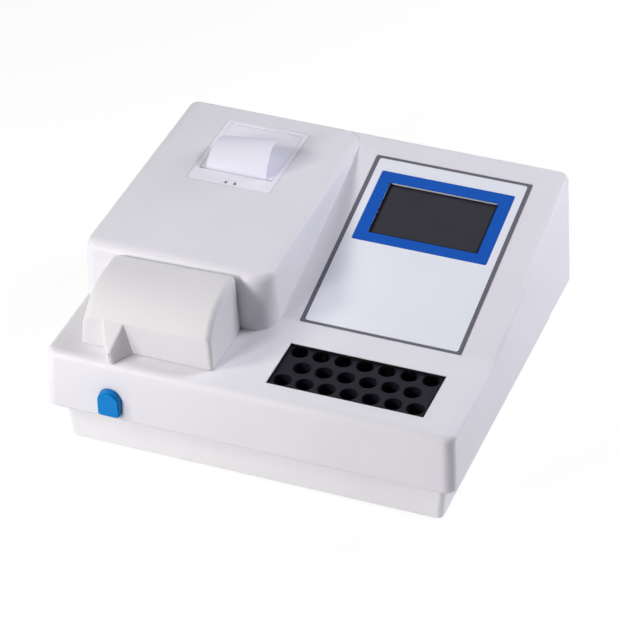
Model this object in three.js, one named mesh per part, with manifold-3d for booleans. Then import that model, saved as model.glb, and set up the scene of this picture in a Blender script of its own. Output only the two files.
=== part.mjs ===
// Benchtop chemistry analyzer: a moulded two-part case with a sloping touch panel, a strip printer in
// a raised housing, a hinged cover over the measuring bay, a block for sample tubes and an aspirate key.
// Millimetres. X runs to the right, Y to the back, Z up. The case stands on z = 0.
import * as THREE from "three";
import { mergeVertices } from "three/addons/utils/BufferGeometryUtils.js";
import Module from "manifold-3d";

const wasm = await Module();
wasm.setup();

// Shared sizes
const wall = 2.5;
const gap = 0.3; // between pieces that touch
const slip = 0.4; // all round a piece that drops into an opening
const overrun = 5; // how far a cut runs past the faces that it opens
const weldTolerance = 1e-3;
const smallSides = 10;
const roundSides = 18;
const largeSides = 30;
const leanShare = 0.045; // how far the moulded walls lean in, per unit of height
const leftLeanShare = 0.006;

// Case
const caseWidth = 368;
const caseDepth = 335;
const footHeight = 4;
const baseHeight = 41.4;
const frontHeight = 54.2;
const humpRise = 54.6;
const creaseSetback = 114.5; // from the front wall to the foot of the display slope
const deckEdgeRadius = 8;
const creaseRadius = 18;
const backEdgeRadius = 2.8;
const caseCornerRadius = 10;
const caseTopRadius = 5.5;
const left = -caseWidth / 2;
const right = caseWidth / 2;
const front = -caseDepth / 2;
const back = caseDepth / 2;
const parting = footHeight + baseHeight;
const deck = parting + frontHeight;
const humpTop = deck + humpRise;
const crease = front + creaseSetback;

// Printer housing on the cover
const humpSetback = 88.5;
const humpGap = 16.4; // from the housing's foot to the panel film
const humpEdgeRadius = 11;
const humpBackRadius = 3.6;
const humpCornerRadius = 21;
const humpSideRadius = 9;
const humpStep = 0.05; // how far its left and back faces stand in from the case's

// Base tray
const trayInset = 11.2; // from the cover's foot to the tray's wall
const trayTaper = 3.2; // how much further in the tray's wall stands at its foot
const trayWall = 3;
const trayCornerRadius = 5.5;
const trayFootRadius = 1.5;
const flangeThickness = 3;
const bossRadius = 4;
const bossInset = 6.9; // of the side bosses, between the cover's wall and the tray's
const bossCornerInset = 9.2;
const screwRadius = 1.6;
const footRadius = 9;
const footInset = 34;
const footSeat = 1.2;

// Display
const panelInset = 33; // from the right wall
const panelOffset = 0.6;
const panelWidth = 145.6;
const panelTopMargin = 24.1;
const panelCorner = 1.5;
const panelRecess = 1;
const filmThickness = 0.7;
const surroundTopMargin = 17;
const surroundSideMargin = 11.05;
const surroundLength = 83.5;
const surroundFootMargin = 10.5;
const windowSideMargin = 11.25;
const windowLength = 61.1;
const lcdMargin = 3;
const lcdThickness = 4.5;
const boardThickness = 1.6;
const displayBoardMargin = 9;
const chipHeight = 2.2;
const chipSize = 14;
const plugHeight = 9;

// Tube incubator
const deckMargin = 20; // least room beside the cover and the block
const lidMarginShare = 0.085; // of the deck's spare width, left of the measuring cover
const blockGapShare = 0.694; // of the deck's spare width, between the cover and the block
const blockSetback = 24.5;
const blockWidth = 139;
const blockDepth = 59;
const blockHeight = 46;
const blockDrop = 2;
const wellRadius = 8;
const wellDepth = 40;
const wellPitch = 19.6;
const wellsPerLongRow = 7;
const rowSetback = 10.9;
const rowPitch = 20.3;
const wellSides = 14;
const heaterThickness = 1.6;
const bracketThickness = 1.5;
const bracketLip = 9;

// Measuring cover
const lidSetback = 23.5;
const lidWidth = 121;
const lidDepth = 64;
const lidHeight = 52.5; // at its left end
const lidRiseShare = 0.07; // how much taller its right end is
const lidLift = 0.5; // from the deck to the cover's lower edge
const lidBrowHeight = 29; // where the front slope meets the front wall
const lidSlopeRun = 15.5; // from there back to where the slope would meet the flat top
const lidSweepRadius = 49;
const lidBrowRadius = 2;
const lidBackRadius = 4;
const lidHeelRadius = 6;
const lidLeftLeanShare = 0.09;
const lidRightLeanShare = 0.07;
const lidLeftRadius = 8;
const lidRightRadius = 5;
const lidCornerRadius = 3.5;
const lidBackMargin = 13; // from the cover's sides to the opening in its back
const noseLeft = 21;
const noseWidth = 27.5;
const noseReach = 19.5;
const noseTipLeft = 14.3; // from the beak's left side to the middle of its tip
const noseTipWidth = 5;
const noseTipRadius = 2; // of the tip's corners, seen from above
const noseBrowRadius = 2.5; // of the tip's top edge
const noseEdgeRadius = 2; // of the side top edges
const noseSlopeShare = 0.86;
const noseFlareShare = 0.27; // how much narrower it is above than at its foot, all on the right
const noseWall = 2;

// Hinge of the measuring cover
const hingeSetback = 9.5; // from the cover's back to the hinge's axis
const hingeDrop = 6.3; // from the cover's left top to the hinge's axis
const hingeRodRadius = 2;
const hingeBossRadius = 3.7;
const hingePostWidth = 7;
const hingePostThickness = 6;
const hingePostFoot = 2;
const hingePostInset = 20;
const knuckleWidth = 8;
const hingeFootDepth = 12;

// Measuring bay
const bayLeft = 10.8; // from the cover's left side
const bayWidth = 98;
const baySetback = 5; // from the cover's front wall
const bayDepth = 40;
const bayDrop = 27;
const bayWall = 2;
const bayLip = 5;

// Flow cell
const holderWidth = 30;
const holderDepth = 26;
const holderHeight = 34;
const cellSize = 12.5;
const cellHeight = 44;
const cellClearance = 0.35;
const cellCapHeight = 5;
const beamDrop = 14; // from the deck to the light beam
const beamRadius = 2.5;
const tubeRadius = 1.5;
const tubeBend = 6;

// Peristaltic pump
const pumpRadius = 14.5;
const pumpHeight = 14;
const pumpWall = 2;
const pumpFloor = 2;
const pumpTubeRadius = 1.6;
const rollerRadius = 3.2;
const rollerCount = 3;
const rollerHeight = 9;
const rotorPlate = 2;
const rotorHubRadius = 3.4;
const pumpShaftRadius = 2;
const pumpMotorRadius = 12.5;
const pumpMotorHeight = 28;

// Strip printer
const bezelLeftShare = 0.483; // of the housing's spare width, left of the bezel
const bezelInset = 22.3; // from the back wall
const bezelWidth = 78.2;
const bezelLength = 100;
const bezelThickness = 1.5;
const bezelRecess = 1.8;
const bezelCorner = 2;
const bucketWall = 2;
const bucketWidth = 73;
const barLength = 18.5; // the fixed bar in front of the paper slot
const bucketBackRail = 3.2;
const slotLength = 2.5;
const doorThickness = 2.5;
const doorHingeRadius = 3;
const doorPinRadius = 1.5;
const doorSkirt = 2;
const rollRadius = 19.5;
const rollWidth = 57;
const rollCoreRadius = 6;
const rollDrop = 25;
const rollSetback = 62;
const rollClearance = 0.5;
const platenRadius = 5;
const platenDrop = 9.5;
const platenShaftRadius = 1.8;
const gearThickness = 1.8;
const gearModule = 0.6;
const platenTeeth = 20;
const driveTeeth = 14;
const gearBacklashShare = 0.2;
const gearPlayShare = 0.12;
const headThickness = 2;
const headHeight = 9.4;
const printerMotorRadius = 4;
const printerMotorLength = 22;
const bucketFoot = 24; // where the bucket's front wall turns towards the roll
const tabWidth = 6.4;
const tabLength = 6;
const tabNotch = 2;
const tabOffset = 0.9;
const tabThickness = 1.5;
const tabStem = 8;
const tabStemWidth = 5;
const tabStemDepth = 3;
const paperThickness = 0.4;
const paperRise = 24;
const paperLeftRise = 13.6;
const paperReach = 40;

// Aspirate key
const keyLeft = 61;
const keyWidth = 20;
const keyHeight = 24.5;
const keyFoot = 4.7; // from the cover's foot to the key
const keyProud = 5.5;
const keyTravel = 2.5;
const keyEdge = 1.6;
const keyDepth = 7;
const keyFlange = 1.3;
const keyFlangeThickness = 1.5;
const keyStemRadius = 2.5;
const keyStemLength = 5;
const keySwitchWidth = 20;
const keySwitchHeight = 10;
const keySwitchDepth = 6.5;
const keyBoardMargin = 12;
const keyPostRadius = 2.8;

// Optics
const benchThickness = 4;
const benchWidth = 62;
const benchLeft = 17; // from the beam to the bench's left edge
const benchDrop = 62;
const benchOverhang = 8;
const benchPostRadius = 5;
const lensSetback = 126;
const lensRadius = 8;
const lensLength = 14;
const lensTubeWall = 2;
const lensCrown = 2;
const lensEdge = 2;
const wheelSetback = 106;
const wheelRadius = 30;
const wheelThickness = 5;
const wheelFilters = 8;
const filterRadius = 5.5;
const filterOrbit = 22;
const wheelHubRadius = 7;
const wheelHubLength = 5;
const motorSize = 35;
const motorCorner = 4;
const motorLength = 24;
const motorShaftRadius = 2.5;
const lampSetback = 160;
const lampRadius = 6;
const lampLength = 17;
const lampBaseRadius = 7.5;
const lampBaseLength = 14;
const lampBlockSize = 26;
const lampFins = 4;
const lampFinDepth = 5;
const detectorSize = 16;
const detectorCanRadius = 4.5;
const detectorCanLength = 4;
const uprightThickness = 3;

// Electronics
const mainBoardWidth = 150;
const mainBoardInset = 25; // from the right wall
const mainBoardGap = 34.5; // from the incubator's back
const boardPost = 7;
const boardPostRadius = 3.5;
const supplyWidth = 98;
const supplyDepth = 62;
const supplyHeight = 34;
const supplyWall = 1.5;
const supplyGap = 16;
const supplyInset = 44; // from the back wall
const supplySlots = 7;
const supplySlotWidth = 3;

// Rear wall
const fanSize = 60;
const fanThickness = 15;
const fanInset = 163; // from the right wall to the fan's axis
const fanLift = 52; // from the cover's foot to the fan's axis
const fanBoreRadius = 28;
const fanHubRadius = 12;
const fanBlades = 7;
const fanBladeThickness = 1.4;
const fanBladeChord = 9;
const fanCupThickness = 2;
const fanArms = 4;
const fanArmWidth = 3.5;
const fanShaftRadius = 2;
const ventSlots = 9;
const ventWidth = 3.2;
const inletInset = 66; // from the right wall
const inletLift = 33;
const inletWidth = 31;
const inletHeight = 52;
const inletFlange = 3.5;
const inletFlangeThickness = 2;
const inletDepth = 22;
const socketWidth = 24;
const socketHeight = 16.5;
const socketDepth = 16;
const socketLift = -10;
const pinWidth = 2;
const pinHeight = 4;
const pinLength = 11;
const pinSpread = 7;
const rockerWidth = 21;
const rockerHeight = 15;
const rockerLift = 15.5;
const rockerTilt = Math.PI / 18; // each side of level
const rockerSink = 3.6; // from the panel's face to the rocker's pivot
const portInset = 112; // from the right wall
const portLift = 26;
const portWidth = 31;
const portHeight = 12.5;
const portShellWidth = 17;
const portShellHeight = 8.4;
const portSlantShare = 0.12;
const portProud = 6;
const portFlange = 1.5;
const portBody = 8;
const drainLeft = 96;
const drainLift = 18;
const drainRadius = 5;
const drainBarbRadius = 3;
const drainProud = 12;

// Materials
const finish = (color, roughness, metalness = 0) =>
  new THREE.MeshStandardMaterial({ color, roughness, metalness });
const casePlastic = () => finish(0xdfdfe6, 0.42);
const lidPlastic = () => finish(0xe0dfdf, 0.4);
const blackPlastic = () => finish(0x26262a, 0.5);
const whitePlastic = () => finish(0xeeeef2, 0.4);
const bluePlastic = () => finish(0x1482d6, 0.3);
const blueFilm = () => finish(0x1b57b8, 0.35);
const paleFilm = () => finish(0xdfe1ee, 0.3);
const screenGlass = () => finish(0x3c3d44, 0.15);
const anodised = () => finish(0x1c1a20, 0.45, 0.3);
const steel = () => finish(0xb9bcc0, 0.3, 0.9);
const aluminium = () => finish(0xc3c6ca, 0.4, 0.8);
const brass = () => finish(0xc8a860, 0.35, 0.9);
const rubber = () => finish(0x333336, 0.85);
const glass = () => finish(0xdfe8ee, 0.05);
const ceramic = () => finish(0xe8e4da, 0.7);
const paper = () => finish(0xf4f4fb, 0.9);
const circuit = () => finish(0x1f6b45, 0.5);
const siliconeTube = () => finish(0xe6e2d6, 0.5);
const heaterFilm = () => finish(0xb4532a, 0.6);

const analyzer = new THREE.Group();

// Closed geometry to solid, and back.
function solidOf(geometry) {
  const bare = geometry.clone();
  bare.deleteAttribute("normal");
  bare.deleteAttribute("uv");
  const merged = mergeVertices(bare, weldTolerance);
  const index = merged.index.array;
  const kept = [];
  for (let i = 0; i < index.length; i += 3) {
    const [a, b, c] = [index[i], index[i + 1], index[i + 2]];
    if (a !== b && b !== c && c !== a) kept.push(a, b, c);
  }
  return new wasm.Manifold(
    new wasm.Mesh({
      numProp: 3,
      vertProperties: new Float32Array(merged.attributes.position.array),
      triVerts: new Uint32Array(kept),
    }),
  );
}

function geometryOf(solid) {
  const mesh = solid.getMesh();
  const geometry = new THREE.BufferGeometry();
  geometry.setAttribute("position", new THREE.BufferAttribute(mesh.vertProperties, 3));
  geometry.setIndex(new THREE.BufferAttribute(mesh.triVerts, 1));
  const faceted = geometry.toNonIndexed();
  faceted.computeVertexNormals();
  return faceted;
}

function join(...solids) {
  return solids.reduce((whole, piece) => whole.add(piece));
}

function cut(solid, ...tools) {
  return tools.reduce((rest, tool) => rest.subtract(tool), solid);
}

function piece(name, solid, material, parent = analyzer) {
  const mesh = new THREE.Mesh(geometryOf(solid), material);
  mesh.name = name;
  parent.add(mesh);
  return mesh;
}

// Simple forms, each given by its limits along the axes
function blockGeometry(x0, x1, y0, y1, z0, z1) {
  const geometry = new THREE.BoxGeometry(x1 - x0, y1 - y0, z1 - z0);
  return geometry.translate((x0 + x1) / 2, (y0 + y1) / 2, (z0 + z1) / 2);
}

function block(...limits) {
  return solidOf(blockGeometry(...limits));
}

// A cylinder or cone between two limits along an axis. Its centre is given by the other two axes, in order.
function rodGeometry(axis, radius, from, to, a, b, sides = roundSides, endRadius = radius) {
  const geometry = new THREE.CylinderGeometry(endRadius, radius, to - from, sides);
  const middle = (from + to) / 2;
  if (axis === "x") return geometry.rotateZ(-Math.PI / 2).translate(middle, a, b);
  if (axis === "z") return geometry.rotateX(Math.PI / 2).translate(a, b, middle);
  return geometry.translate(a, middle, b);
}

function rod(...sizes) {
  return solidOf(rodGeometry(...sizes));
}

// A flat outline pushed along an axis. Its points are given along the other two axes, in order.
const outlineFrames = {
  x: new THREE.Matrix4().makeBasis(
    new THREE.Vector3(0, 1, 0),
    new THREE.Vector3(0, 0, 1),
    new THREE.Vector3(1, 0, 0),
  ),
  y: new THREE.Matrix4().makeBasis(
    new THREE.Vector3(1, 0, 0),
    new THREE.Vector3(0, 0, 1),
    new THREE.Vector3(0, -1, 0),
  ),
  z: new THREE.Matrix4(),
};

function prismGeometry(axis, outline, from, to, curveSegments = 2) {
  const drawn = outline instanceof THREE.Shape;
  const shape = drawn ? outline : new THREE.Shape(outline.map(([a, b]) => new THREE.Vector2(a, b)));
  const geometry = new THREE.ExtrudeGeometry(shape, {
    depth: to - from,
    bevelEnabled: false,
    curveSegments,
  });
  geometry.translate(0, 0, axis === "y" ? -to : from);
  return geometry.applyMatrix4(outlineFrames[axis]);
}

function prism(...sizes) {
  return solidOf(prismGeometry(...sizes));
}

function roundedRectangle(a0, a1, b0, b1, radius) {
  const shape = new THREE.Shape();
  shape.moveTo(a0 + radius, b0);
  shape.lineTo(a1 - radius, b0);
  shape.absarc(a1 - radius, b0 + radius, radius, -Math.PI / 2, 0);
  shape.lineTo(a1, b1 - radius);
  shape.absarc(a1 - radius, b1 - radius, radius, 0, Math.PI / 2);
  shape.lineTo(a0 + radius, b1);
  shape.absarc(a0 + radius, b1 - radius, radius, Math.PI / 2, Math.PI);
  shape.lineTo(a0, b0 + radius);
  shape.absarc(a0 + radius, b0 + radius, radius, Math.PI, 1.5 * Math.PI);
  return shape;
}

function hole(shape, opening) {
  shape.holes.push(opening);
  return shape;
}

// A closed skin through rings of equal point counts, with a triangulated cap on each end.
function skin(rings, flatten) {
  const count = rings[0].length;
  const points = rings.flat();
  const faces = [];
  for (let r = 0; r + 1 < rings.length; r++) {
    for (let i = 0; i < count; i++) {
      const a = r * count + i;
      const b = r * count + ((i + 1) % count);
      faces.push(a, b, b + count, a, b + count, a + count);
    }
  }
  const flat = rings[0].map(flatten);
  const cap = THREE.ShapeUtils.triangulateShape(flat, []);
  const forward = THREE.ShapeUtils.area(flat) > 0;
  const last = (rings.length - 1) * count;
  for (const [a, b, c] of cap) {
    faces.push(a, c, b, last + a, last + b, last + c);
  }
  if (!forward) {
    for (let i = 0; i < (rings.length - 1) * count * 6; i += 3) {
      [faces[i + 1], faces[i + 2]] = [faces[i + 2], faces[i + 1]];
    }
  }
  const geometry = new THREE.BufferGeometry();
  geometry.setAttribute(
    "position",
    new THREE.Float32BufferAttribute(points.flatMap((p) => [p.x, p.y, p.z]), 3),
  );
  geometry.setIndex(faces);
  return geometry;
}

// Rounded outlines of a moulded shell, seen from the side. Each corner says what its next edge is.
function corner(y, z, radius, edge) {
  return { y, z, radius, edge };
}

function crossing(p, d, q, e) {
  const t = ((q.y - p.y) * e.z - (q.z - p.z) * e.y) / (d.y * e.z - d.z * e.y);
  return { y: p.y + t * d.y, z: p.z + t * d.z };
}

// Moves every edge inwards by the distance for its kind. The outline runs clockwise.
function insetCorners(corners, distances) {
  const lines = corners.map((from, i) => {
    const to = corners[(i + 1) % corners.length];
    const length = Math.hypot(to.y - from.y, to.z - from.z);
    const d = { y: (to.y - from.y) / length, z: (to.z - from.z) / length };
    const move = distances[from.edge] ?? 0;
    return { p: { y: from.y + d.z * move, z: from.z - d.y * move }, d };
  });
  return corners.map((at, i) => {
    const before = lines[(i + corners.length - 1) % corners.length];
    const after = lines[i];
    const turn = before.d.y * after.d.z - before.d.z * after.d.y;
    const point = crossing(before.p, before.d, after.p, after.d);
    const shrink = Math.min(distances.wall ?? 0, distances.top ?? 0);
    const radius = at.radius === 0 ? 0 : Math.max(at.radius + (turn < 0 ? -shrink : shrink), wall / 4);
    return corner(point.y, point.z, radius, at.edge);
  });
}

const arcSteps = 4;

function roundCorners(corners) {
  return corners.flatMap((at, i) => {
    if (at.radius === 0) return [{ y: at.y, z: at.z }];
    const previous = corners[(i + corners.length - 1) % corners.length];
    const next = corners[(i + 1) % corners.length];
    const u = unit(previous.y - at.y, previous.z - at.z);
    const v = unit(next.y - at.y, next.z - at.z);
    const half = Math.acos(u.y * v.y + u.z * v.z) / 2;
    const reach = at.radius / Math.tan(half);
    const bisector = unit(u.y + v.y, u.z + v.z);
    const away = at.radius / Math.sin(half);
    const centre = { y: at.y + bisector.y * away, z: at.z + bisector.z * away };
    const start = Math.atan2(at.z + u.z * reach - centre.z, at.y + u.y * reach - centre.y);
    let sweep = Math.atan2(at.z + v.z * reach - centre.z, at.y + v.y * reach - centre.y) - start;
    if (sweep > Math.PI) sweep -= 2 * Math.PI;
    if (sweep < -Math.PI) sweep += 2 * Math.PI;
    return Array.from({ length: arcSteps + 1 }, (_, k) => {
      const angle = start + (sweep * k) / arcSteps;
      return { y: centre.y + at.radius * Math.cos(angle), z: centre.z + at.radius * Math.sin(angle) };
    });
  });
}

function unit(y, z) {
  const length = Math.hypot(y, z);
  return { y: y / length, z: z / length };
}

// How far a quarter-round edge has drawn in at a given distance from its side face.
function roundInset(radius, distance) {
  if (distance >= radius) return 0;
  return radius - Math.sqrt(radius * radius - (radius - distance) * (radius - distance));
}

// A moulded shell's solid: the side outline carried from one side to the other, drawn in towards each
// side so that all its edges are rounded, with side walls that lean in as they rise.
function mouldedGeometry({ corners, sides, foot }) {
  const rings = [];
  for (const [turn, side] of [[1, sides[0]], [-1, sides[1]]]) {
    const reach = Math.max(side.corner, side.top);
    const ringsHere = [];
    for (let k = 0; k <= arcSteps; k++) {
      const distance = reach * (1 - Math.cos((k / arcSteps) * (Math.PI / 2)));
      const drawn = insetCorners(corners, {
        wall: roundInset(side.corner, distance),
        top: roundInset(side.top, distance),
      });
      ringsHere.push(
        roundCorners(drawn).map(
          ({ y, z }) => new THREE.Vector3(side.x + turn * (distance + side.lean * (z - foot)), y, z),
        ),
      );
    }
    rings.push(...(turn > 0 ? ringsHere : ringsHere.reverse()));
  }
  return skin(rings, (p) => new THREE.Vector2(p.y, p.z));
}

// The same shell's inner space, one wall thickness in and open below.
function hollowGeometry({ corners, sides, foot }) {
  const inner = insetCorners(corners, { wall, top: wall, base: -overrun });
  const innerSides = sides.map((side, i) => ({
    x: side.x + (i === 0 ? wall : -wall),
    corner: Math.max(side.corner - wall, wall / 4),
    top: Math.max(side.top - wall, wall / 4),
    lean: side.lean,
  }));
  return mouldedGeometry({ corners: inner, sides: innerSides, foot });
}

// Display slope: its own frame has X to the right, Y up the slope and Z out of it.
const slopeAngle = Math.atan2(humpRise, back - crease);
const slopeLength = Math.hypot(humpRise, back - crease);
const slope = new THREE.Group();
slope.position.set(right - panelInset - panelWidth / 2, crease, deck);
slope.rotation.x = slopeAngle;
slope.updateMatrix();
analyzer.add(slope);

const panelX = panelWidth / 2;
const surroundX = panelX - surroundSideMargin;
const windowX = surroundX - windowSideMargin;
const panelLength = slopeLength - panelOffset - panelTopMargin;
const surroundFoot = panelOffset + panelLength - surroundTopMargin - surroundLength;
const windowFoot = surroundFoot + surroundFootMargin;
const lcdTop = -(wall + gap);
const lcdBottom = lcdTop - lcdThickness;
const displayBoardTop = lcdBottom - gap;

// Printer housing
const humpFront = front + humpSetback;
const humpWidth = caseWidth - panelInset - panelWidth - humpGap;

// Places along the rear wall, seen from above
const fanX = right - fanInset;
const fanZ = parting + fanLift;
const inletX = right - inletInset;
const inletZ = parting + inletLift;
const portX = right - portInset;
const portZ = parting + portLift;
const drainX = left + drainLeft;
const drainZ = parting + drainLift;

// Places on the deck
const spareWidth = caseWidth - 2 * deckMargin - lidWidth - blockWidth;
const lidX0 = left + deckMargin + lidMarginShare * spareWidth;
const lidX1 = lidX0 + lidWidth;
const blockX0 = lidX1 + blockGapShare * spareWidth;
const blockX1 = blockX0 + blockWidth;
const blockY0 = front + blockSetback;
const blockY1 = blockY0 + blockDepth;
const lidY0 = front + lidSetback;
const lidY1 = lidY0 + lidDepth;
const bayX0 = lidX0 + bayLeft;
const bayX1 = bayX0 + bayWidth;
const bayY0 = lidY0 + baySetback;
const bayY1 = bayY0 + bayDepth;
const bayFloor = deck - bayDrop;
const noseX0 = lidX0 + noseLeft;
const noseX = noseX0 + noseTipLeft;
const beamZ = deck - beamDrop;
const cellY = (bayY0 + bayY1) / 2;
const hingeY = lidY1 - hingeSetback;
const hingeZ = deck + lidHeight - hingeDrop;
const lensY = lidY0 + lensSetback;
const wheelY = lidY0 + wheelSetback;
const lampY = lidY0 + lampSetback;
const keyX = left + keyLeft;
const keyZ0 = parting + keyFoot;
const keyZ1 = keyZ0 + keyHeight;

// Printer frame of reference: the middle of the bezel, on the housing's top.
const printer = new THREE.Group();
printer.position.set(
  left + bezelLeftShare * (humpWidth - bezelWidth) + bezelWidth / 2,
  back - bezelInset - bezelLength / 2,
  humpTop,
);
printer.updateMatrix();
analyzer.add(printer);

const bezelX = bezelWidth / 2;
const bezelY = bezelLength / 2;
const bucketX = bucketWidth / 2;
const bayHalf = bucketX - bucketWall;
const barBack = -bezelY + barLength;
const bucketBack = bezelY - bucketBackRail;
const rollY = -bezelY + rollSetback;
const rollZ = -rollDrop;
const doorFront = barBack + slotLength;
const doorHingeY = bucketBack - gap - doorHingeRadius;
const doorHingeZ = -doorHingeRadius;
const platenY = doorFront + platenRadius;
const platenZ = -platenDrop;
const tabFront = -bezelY + doorThickness;
const tabBack = tabFront + tabLength;

// Upper cover
function bodyForm() {
  const sides = [
    { x: left, corner: caseCornerRadius, top: caseTopRadius, lean: leftLeanShare },
    { x: right, corner: caseCornerRadius, top: caseTopRadius, lean: leanShare },
  ];
  const corners = [
    corner(front, parting, 0, "wall"),
    corner(front + leanShare * frontHeight, deck, deckEdgeRadius, "top"),
    corner(crease, deck, creaseRadius, "top"),
    corner(back, humpTop, backEdgeRadius, "wall"),
    corner(back, parting, 0, "base"),
  ];
  return { corners, sides, foot: parting };
}

function humpForm() {
  const sides = [
    { x: left + humpStep, corner: caseCornerRadius, top: caseTopRadius, lean: leftLeanShare },
    {
      x: left + humpWidth + leanShare * frontHeight,
      corner: humpCornerRadius,
      top: humpSideRadius,
      lean: leanShare,
    },
  ];
  const corners = [
    corner(humpFront - leanShare * frontHeight, parting, 0, "wall"),
    corner(humpFront + leanShare * humpRise, humpTop, humpEdgeRadius, "top"),
    corner(back - humpStep, humpTop, humpBackRadius, "wall"),
    corner(back - humpStep, parting, 0, "base"),
  ];
  return { corners, sides, foot: parting };
}

// One screw boss in each corner and one half way along each side
function bossPlaces() {
  const x = right - bossCornerInset;
  const y = back - bossCornerInset;
  const side = right - bossInset;
  return [[-x, -y], [x, -y], [-side, 0], [side, 0], [-x, y], [x, y]];
}

function coverBosses() {
  const foot = parting + flangeThickness + gap;
  return bossPlaces().map(([x, y]) => rod("z", bossRadius, foot, humpTop, x, y, smallSides));
}

function coverBossHoles() {
  const top = deck - bossCornerInset;
  return bossPlaces().map(([x, y]) => rod("z", screwRadius, parting - overrun, top, x, y, smallSides));
}

function displayStandoffs() {
  const x = windowX + lcdMargin + displayBoardMargin / 2;
  const y0 = windowFoot - lcdMargin - displayBoardMargin / 2;
  const y1 = windowFoot + windowLength + lcdMargin + displayBoardMargin / 2;
  const foot = displayBoardTop + gap;
  return [[-x, y0], [x, y0], [-x, y1], [x, y1]].map(([sx, sy]) => {
    const standoff = rodGeometry("z", bossRadius - wall / 2, foot, -wall / 2, sx, sy, smallSides);
    return solidOf(standoff.applyMatrix4(slope.matrix));
  });
}

function keyPosts() {
  const reach = keySwitchWidth / 2 + keyBoardMargin / 2 + gap;
  const face = front + keyDepth + keyStemLength + keyTravel + keySwitchDepth - boardThickness;
  const z = (keyZ0 + keyZ1) / 2;
  return [-1, 1].map((side) =>
    rod("y", keyPostRadius, front + wall, face, keyX + side * reach, z, smallSides),
  );
}

function slopeCuts() {
  const recess = prismGeometry(
    "z",
    roundedRectangle(
      -panelX - gap,
      panelX + gap,
      panelOffset - gap,
      panelOffset + panelLength + gap,
      panelCorner,
    ),
    -panelRecess,
    overrun,
  );
  const windowTop = windowFoot + windowLength;
  const window = blockGeometry(-windowX, windowX, windowFoot, windowTop, -wall - overrun, overrun);
  return [recess, window].map((geometry) => solidOf(geometry.applyMatrix4(slope.matrix)));
}

function printerCuts() {
  const recess = prismGeometry(
    "z",
    roundedRectangle(-bezelX - gap, bezelX + gap, -bezelY - gap, bezelY + gap, bezelCorner),
    -bezelRecess,
    overrun,
  );
  const throat = blockGeometry(
    -bucketX - slip,
    bucketX + slip,
    tabFront - slip,
    bucketBack + bucketWall + slip,
    -wall - overrun,
    overrun,
  );
  return [recess, throat].map((geometry) => solidOf(geometry.applyMatrix4(printer.matrix)));
}

// The key's outline: flat foot, round top.
function keyOutline(grow) {
  const half = keyWidth / 2 + grow;
  const shape = new THREE.Shape();
  const shoulder = keyZ1 - keyWidth / 2;
  shape.moveTo(keyX - half + keyEdge, keyZ0 - grow);
  shape.lineTo(keyX + half - keyEdge, keyZ0 - grow);
  shape.lineTo(keyX + half, keyZ0 - grow + keyEdge);
  shape.absarc(keyX, shoulder, half, 0, Math.PI);
  shape.lineTo(keyX - half, keyZ0 - grow + keyEdge);
  return shape;
}

function fanVents() {
  const pitch = (fanBoreRadius * 2) / ventSlots;
  return Array.from({ length: ventSlots }, (_, i) => {
    const z = fanZ - fanBoreRadius + pitch * (i + 1 / 2);
    const half = Math.sqrt(fanBoreRadius * fanBoreRadius - (z - fanZ) * (z - fanZ));
    const [z0, z1] = [z - ventWidth / 2, z + ventWidth / 2];
    return block(fanX - half, fanX + half, back - wall - overrun, back + overrun, z0, z1);
  });
}

function upperCover() {
  const outer = join(solidOf(mouldedGeometry(bodyForm())), solidOf(mouldedGeometry(humpForm())));
  const inner = join(solidOf(hollowGeometry(bodyForm())), solidOf(hollowGeometry(humpForm())));
  const bosses = join(...coverBosses()).intersect(outer);
  const shell = join(outer.subtract(inner), bosses, ...displayStandoffs(), ...keyPosts());
  return cut(
    shell,
    ...coverBossHoles(),
    ...slopeCuts(),
    ...printerCuts(),
    block(blockX0, blockX1, blockY0, blockY1, deck - wall - overrun, deck + overrun),
    block(bayX0, bayX1, bayY0, bayY1, deck - wall - overrun, deck + overrun),
    prism("y", keyOutline(slip), front - overrun, front + wall + overrun, smallSides),
    block(
      inletX - inletWidth / 2 - slip,
      inletX + inletWidth / 2 + slip,
      back - wall - overrun,
      back + overrun,
      inletZ - inletHeight / 2 - slip,
      inletZ + inletHeight / 2 + slip,
    ),
    block(
      portX - portShellWidth / 2 - slip,
      portX + portShellWidth / 2 + slip,
      back - wall - overrun,
      back + overrun,
      portZ - portShellHeight / 2 - slip,
      portZ + portShellHeight / 2 + slip,
    ),
    rod("y", drainRadius - wall / 2 + slip, back - wall - overrun, back + overrun, drainX, drainZ),
    ...fanVents(),
  );
}

piece("upper_cover", upperCover(), casePlastic());

// Base tray
function roundedRing(halfX, halfY, radius, z) {
  const quarters = [[1, -1], [1, 1], [-1, 1], [-1, -1]];
  return quarters.flatMap(([sx, sy], q) =>
    Array.from({ length: arcSteps + 1 }, (_, k) => {
      const angle = (q - 1 + k / arcSteps) * (Math.PI / 2);
      return new THREE.Vector3(
        sx * (halfX - radius) + radius * Math.cos(angle),
        sy * (halfY - radius) + radius * Math.sin(angle),
        z,
      );
    }),
  );
}

function plateGeometry(levels) {
  return skin(
    levels.map(([halfX, halfY, radius, z]) => roundedRing(halfX, halfY, radius, z)),
    (p) => new THREE.Vector2(p.x, p.y),
  );
}

const trayX = right - trayInset;
const trayY = back - trayInset;
const trayFloor = footHeight + trayWall;

// Outside, the tray's foot is rounded. Inside, its floor meets the walls squarely.
function trayOutside() {
  const x = trayX - trayTaper;
  const y = trayY - trayTaper;
  const rounded = Array.from({ length: arcSteps + 1 }, (_, k) => {
    const angle = (k / arcSteps) * (Math.PI / 2);
    const draw = trayFootRadius * (1 - Math.sin(angle));
    return [x - draw, y - draw, trayCornerRadius - draw, footHeight + trayFootRadius * (1 - Math.cos(angle))];
  });
  return plateGeometry([...rounded, [trayX, trayY, trayCornerRadius, parting]]);
}

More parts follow.
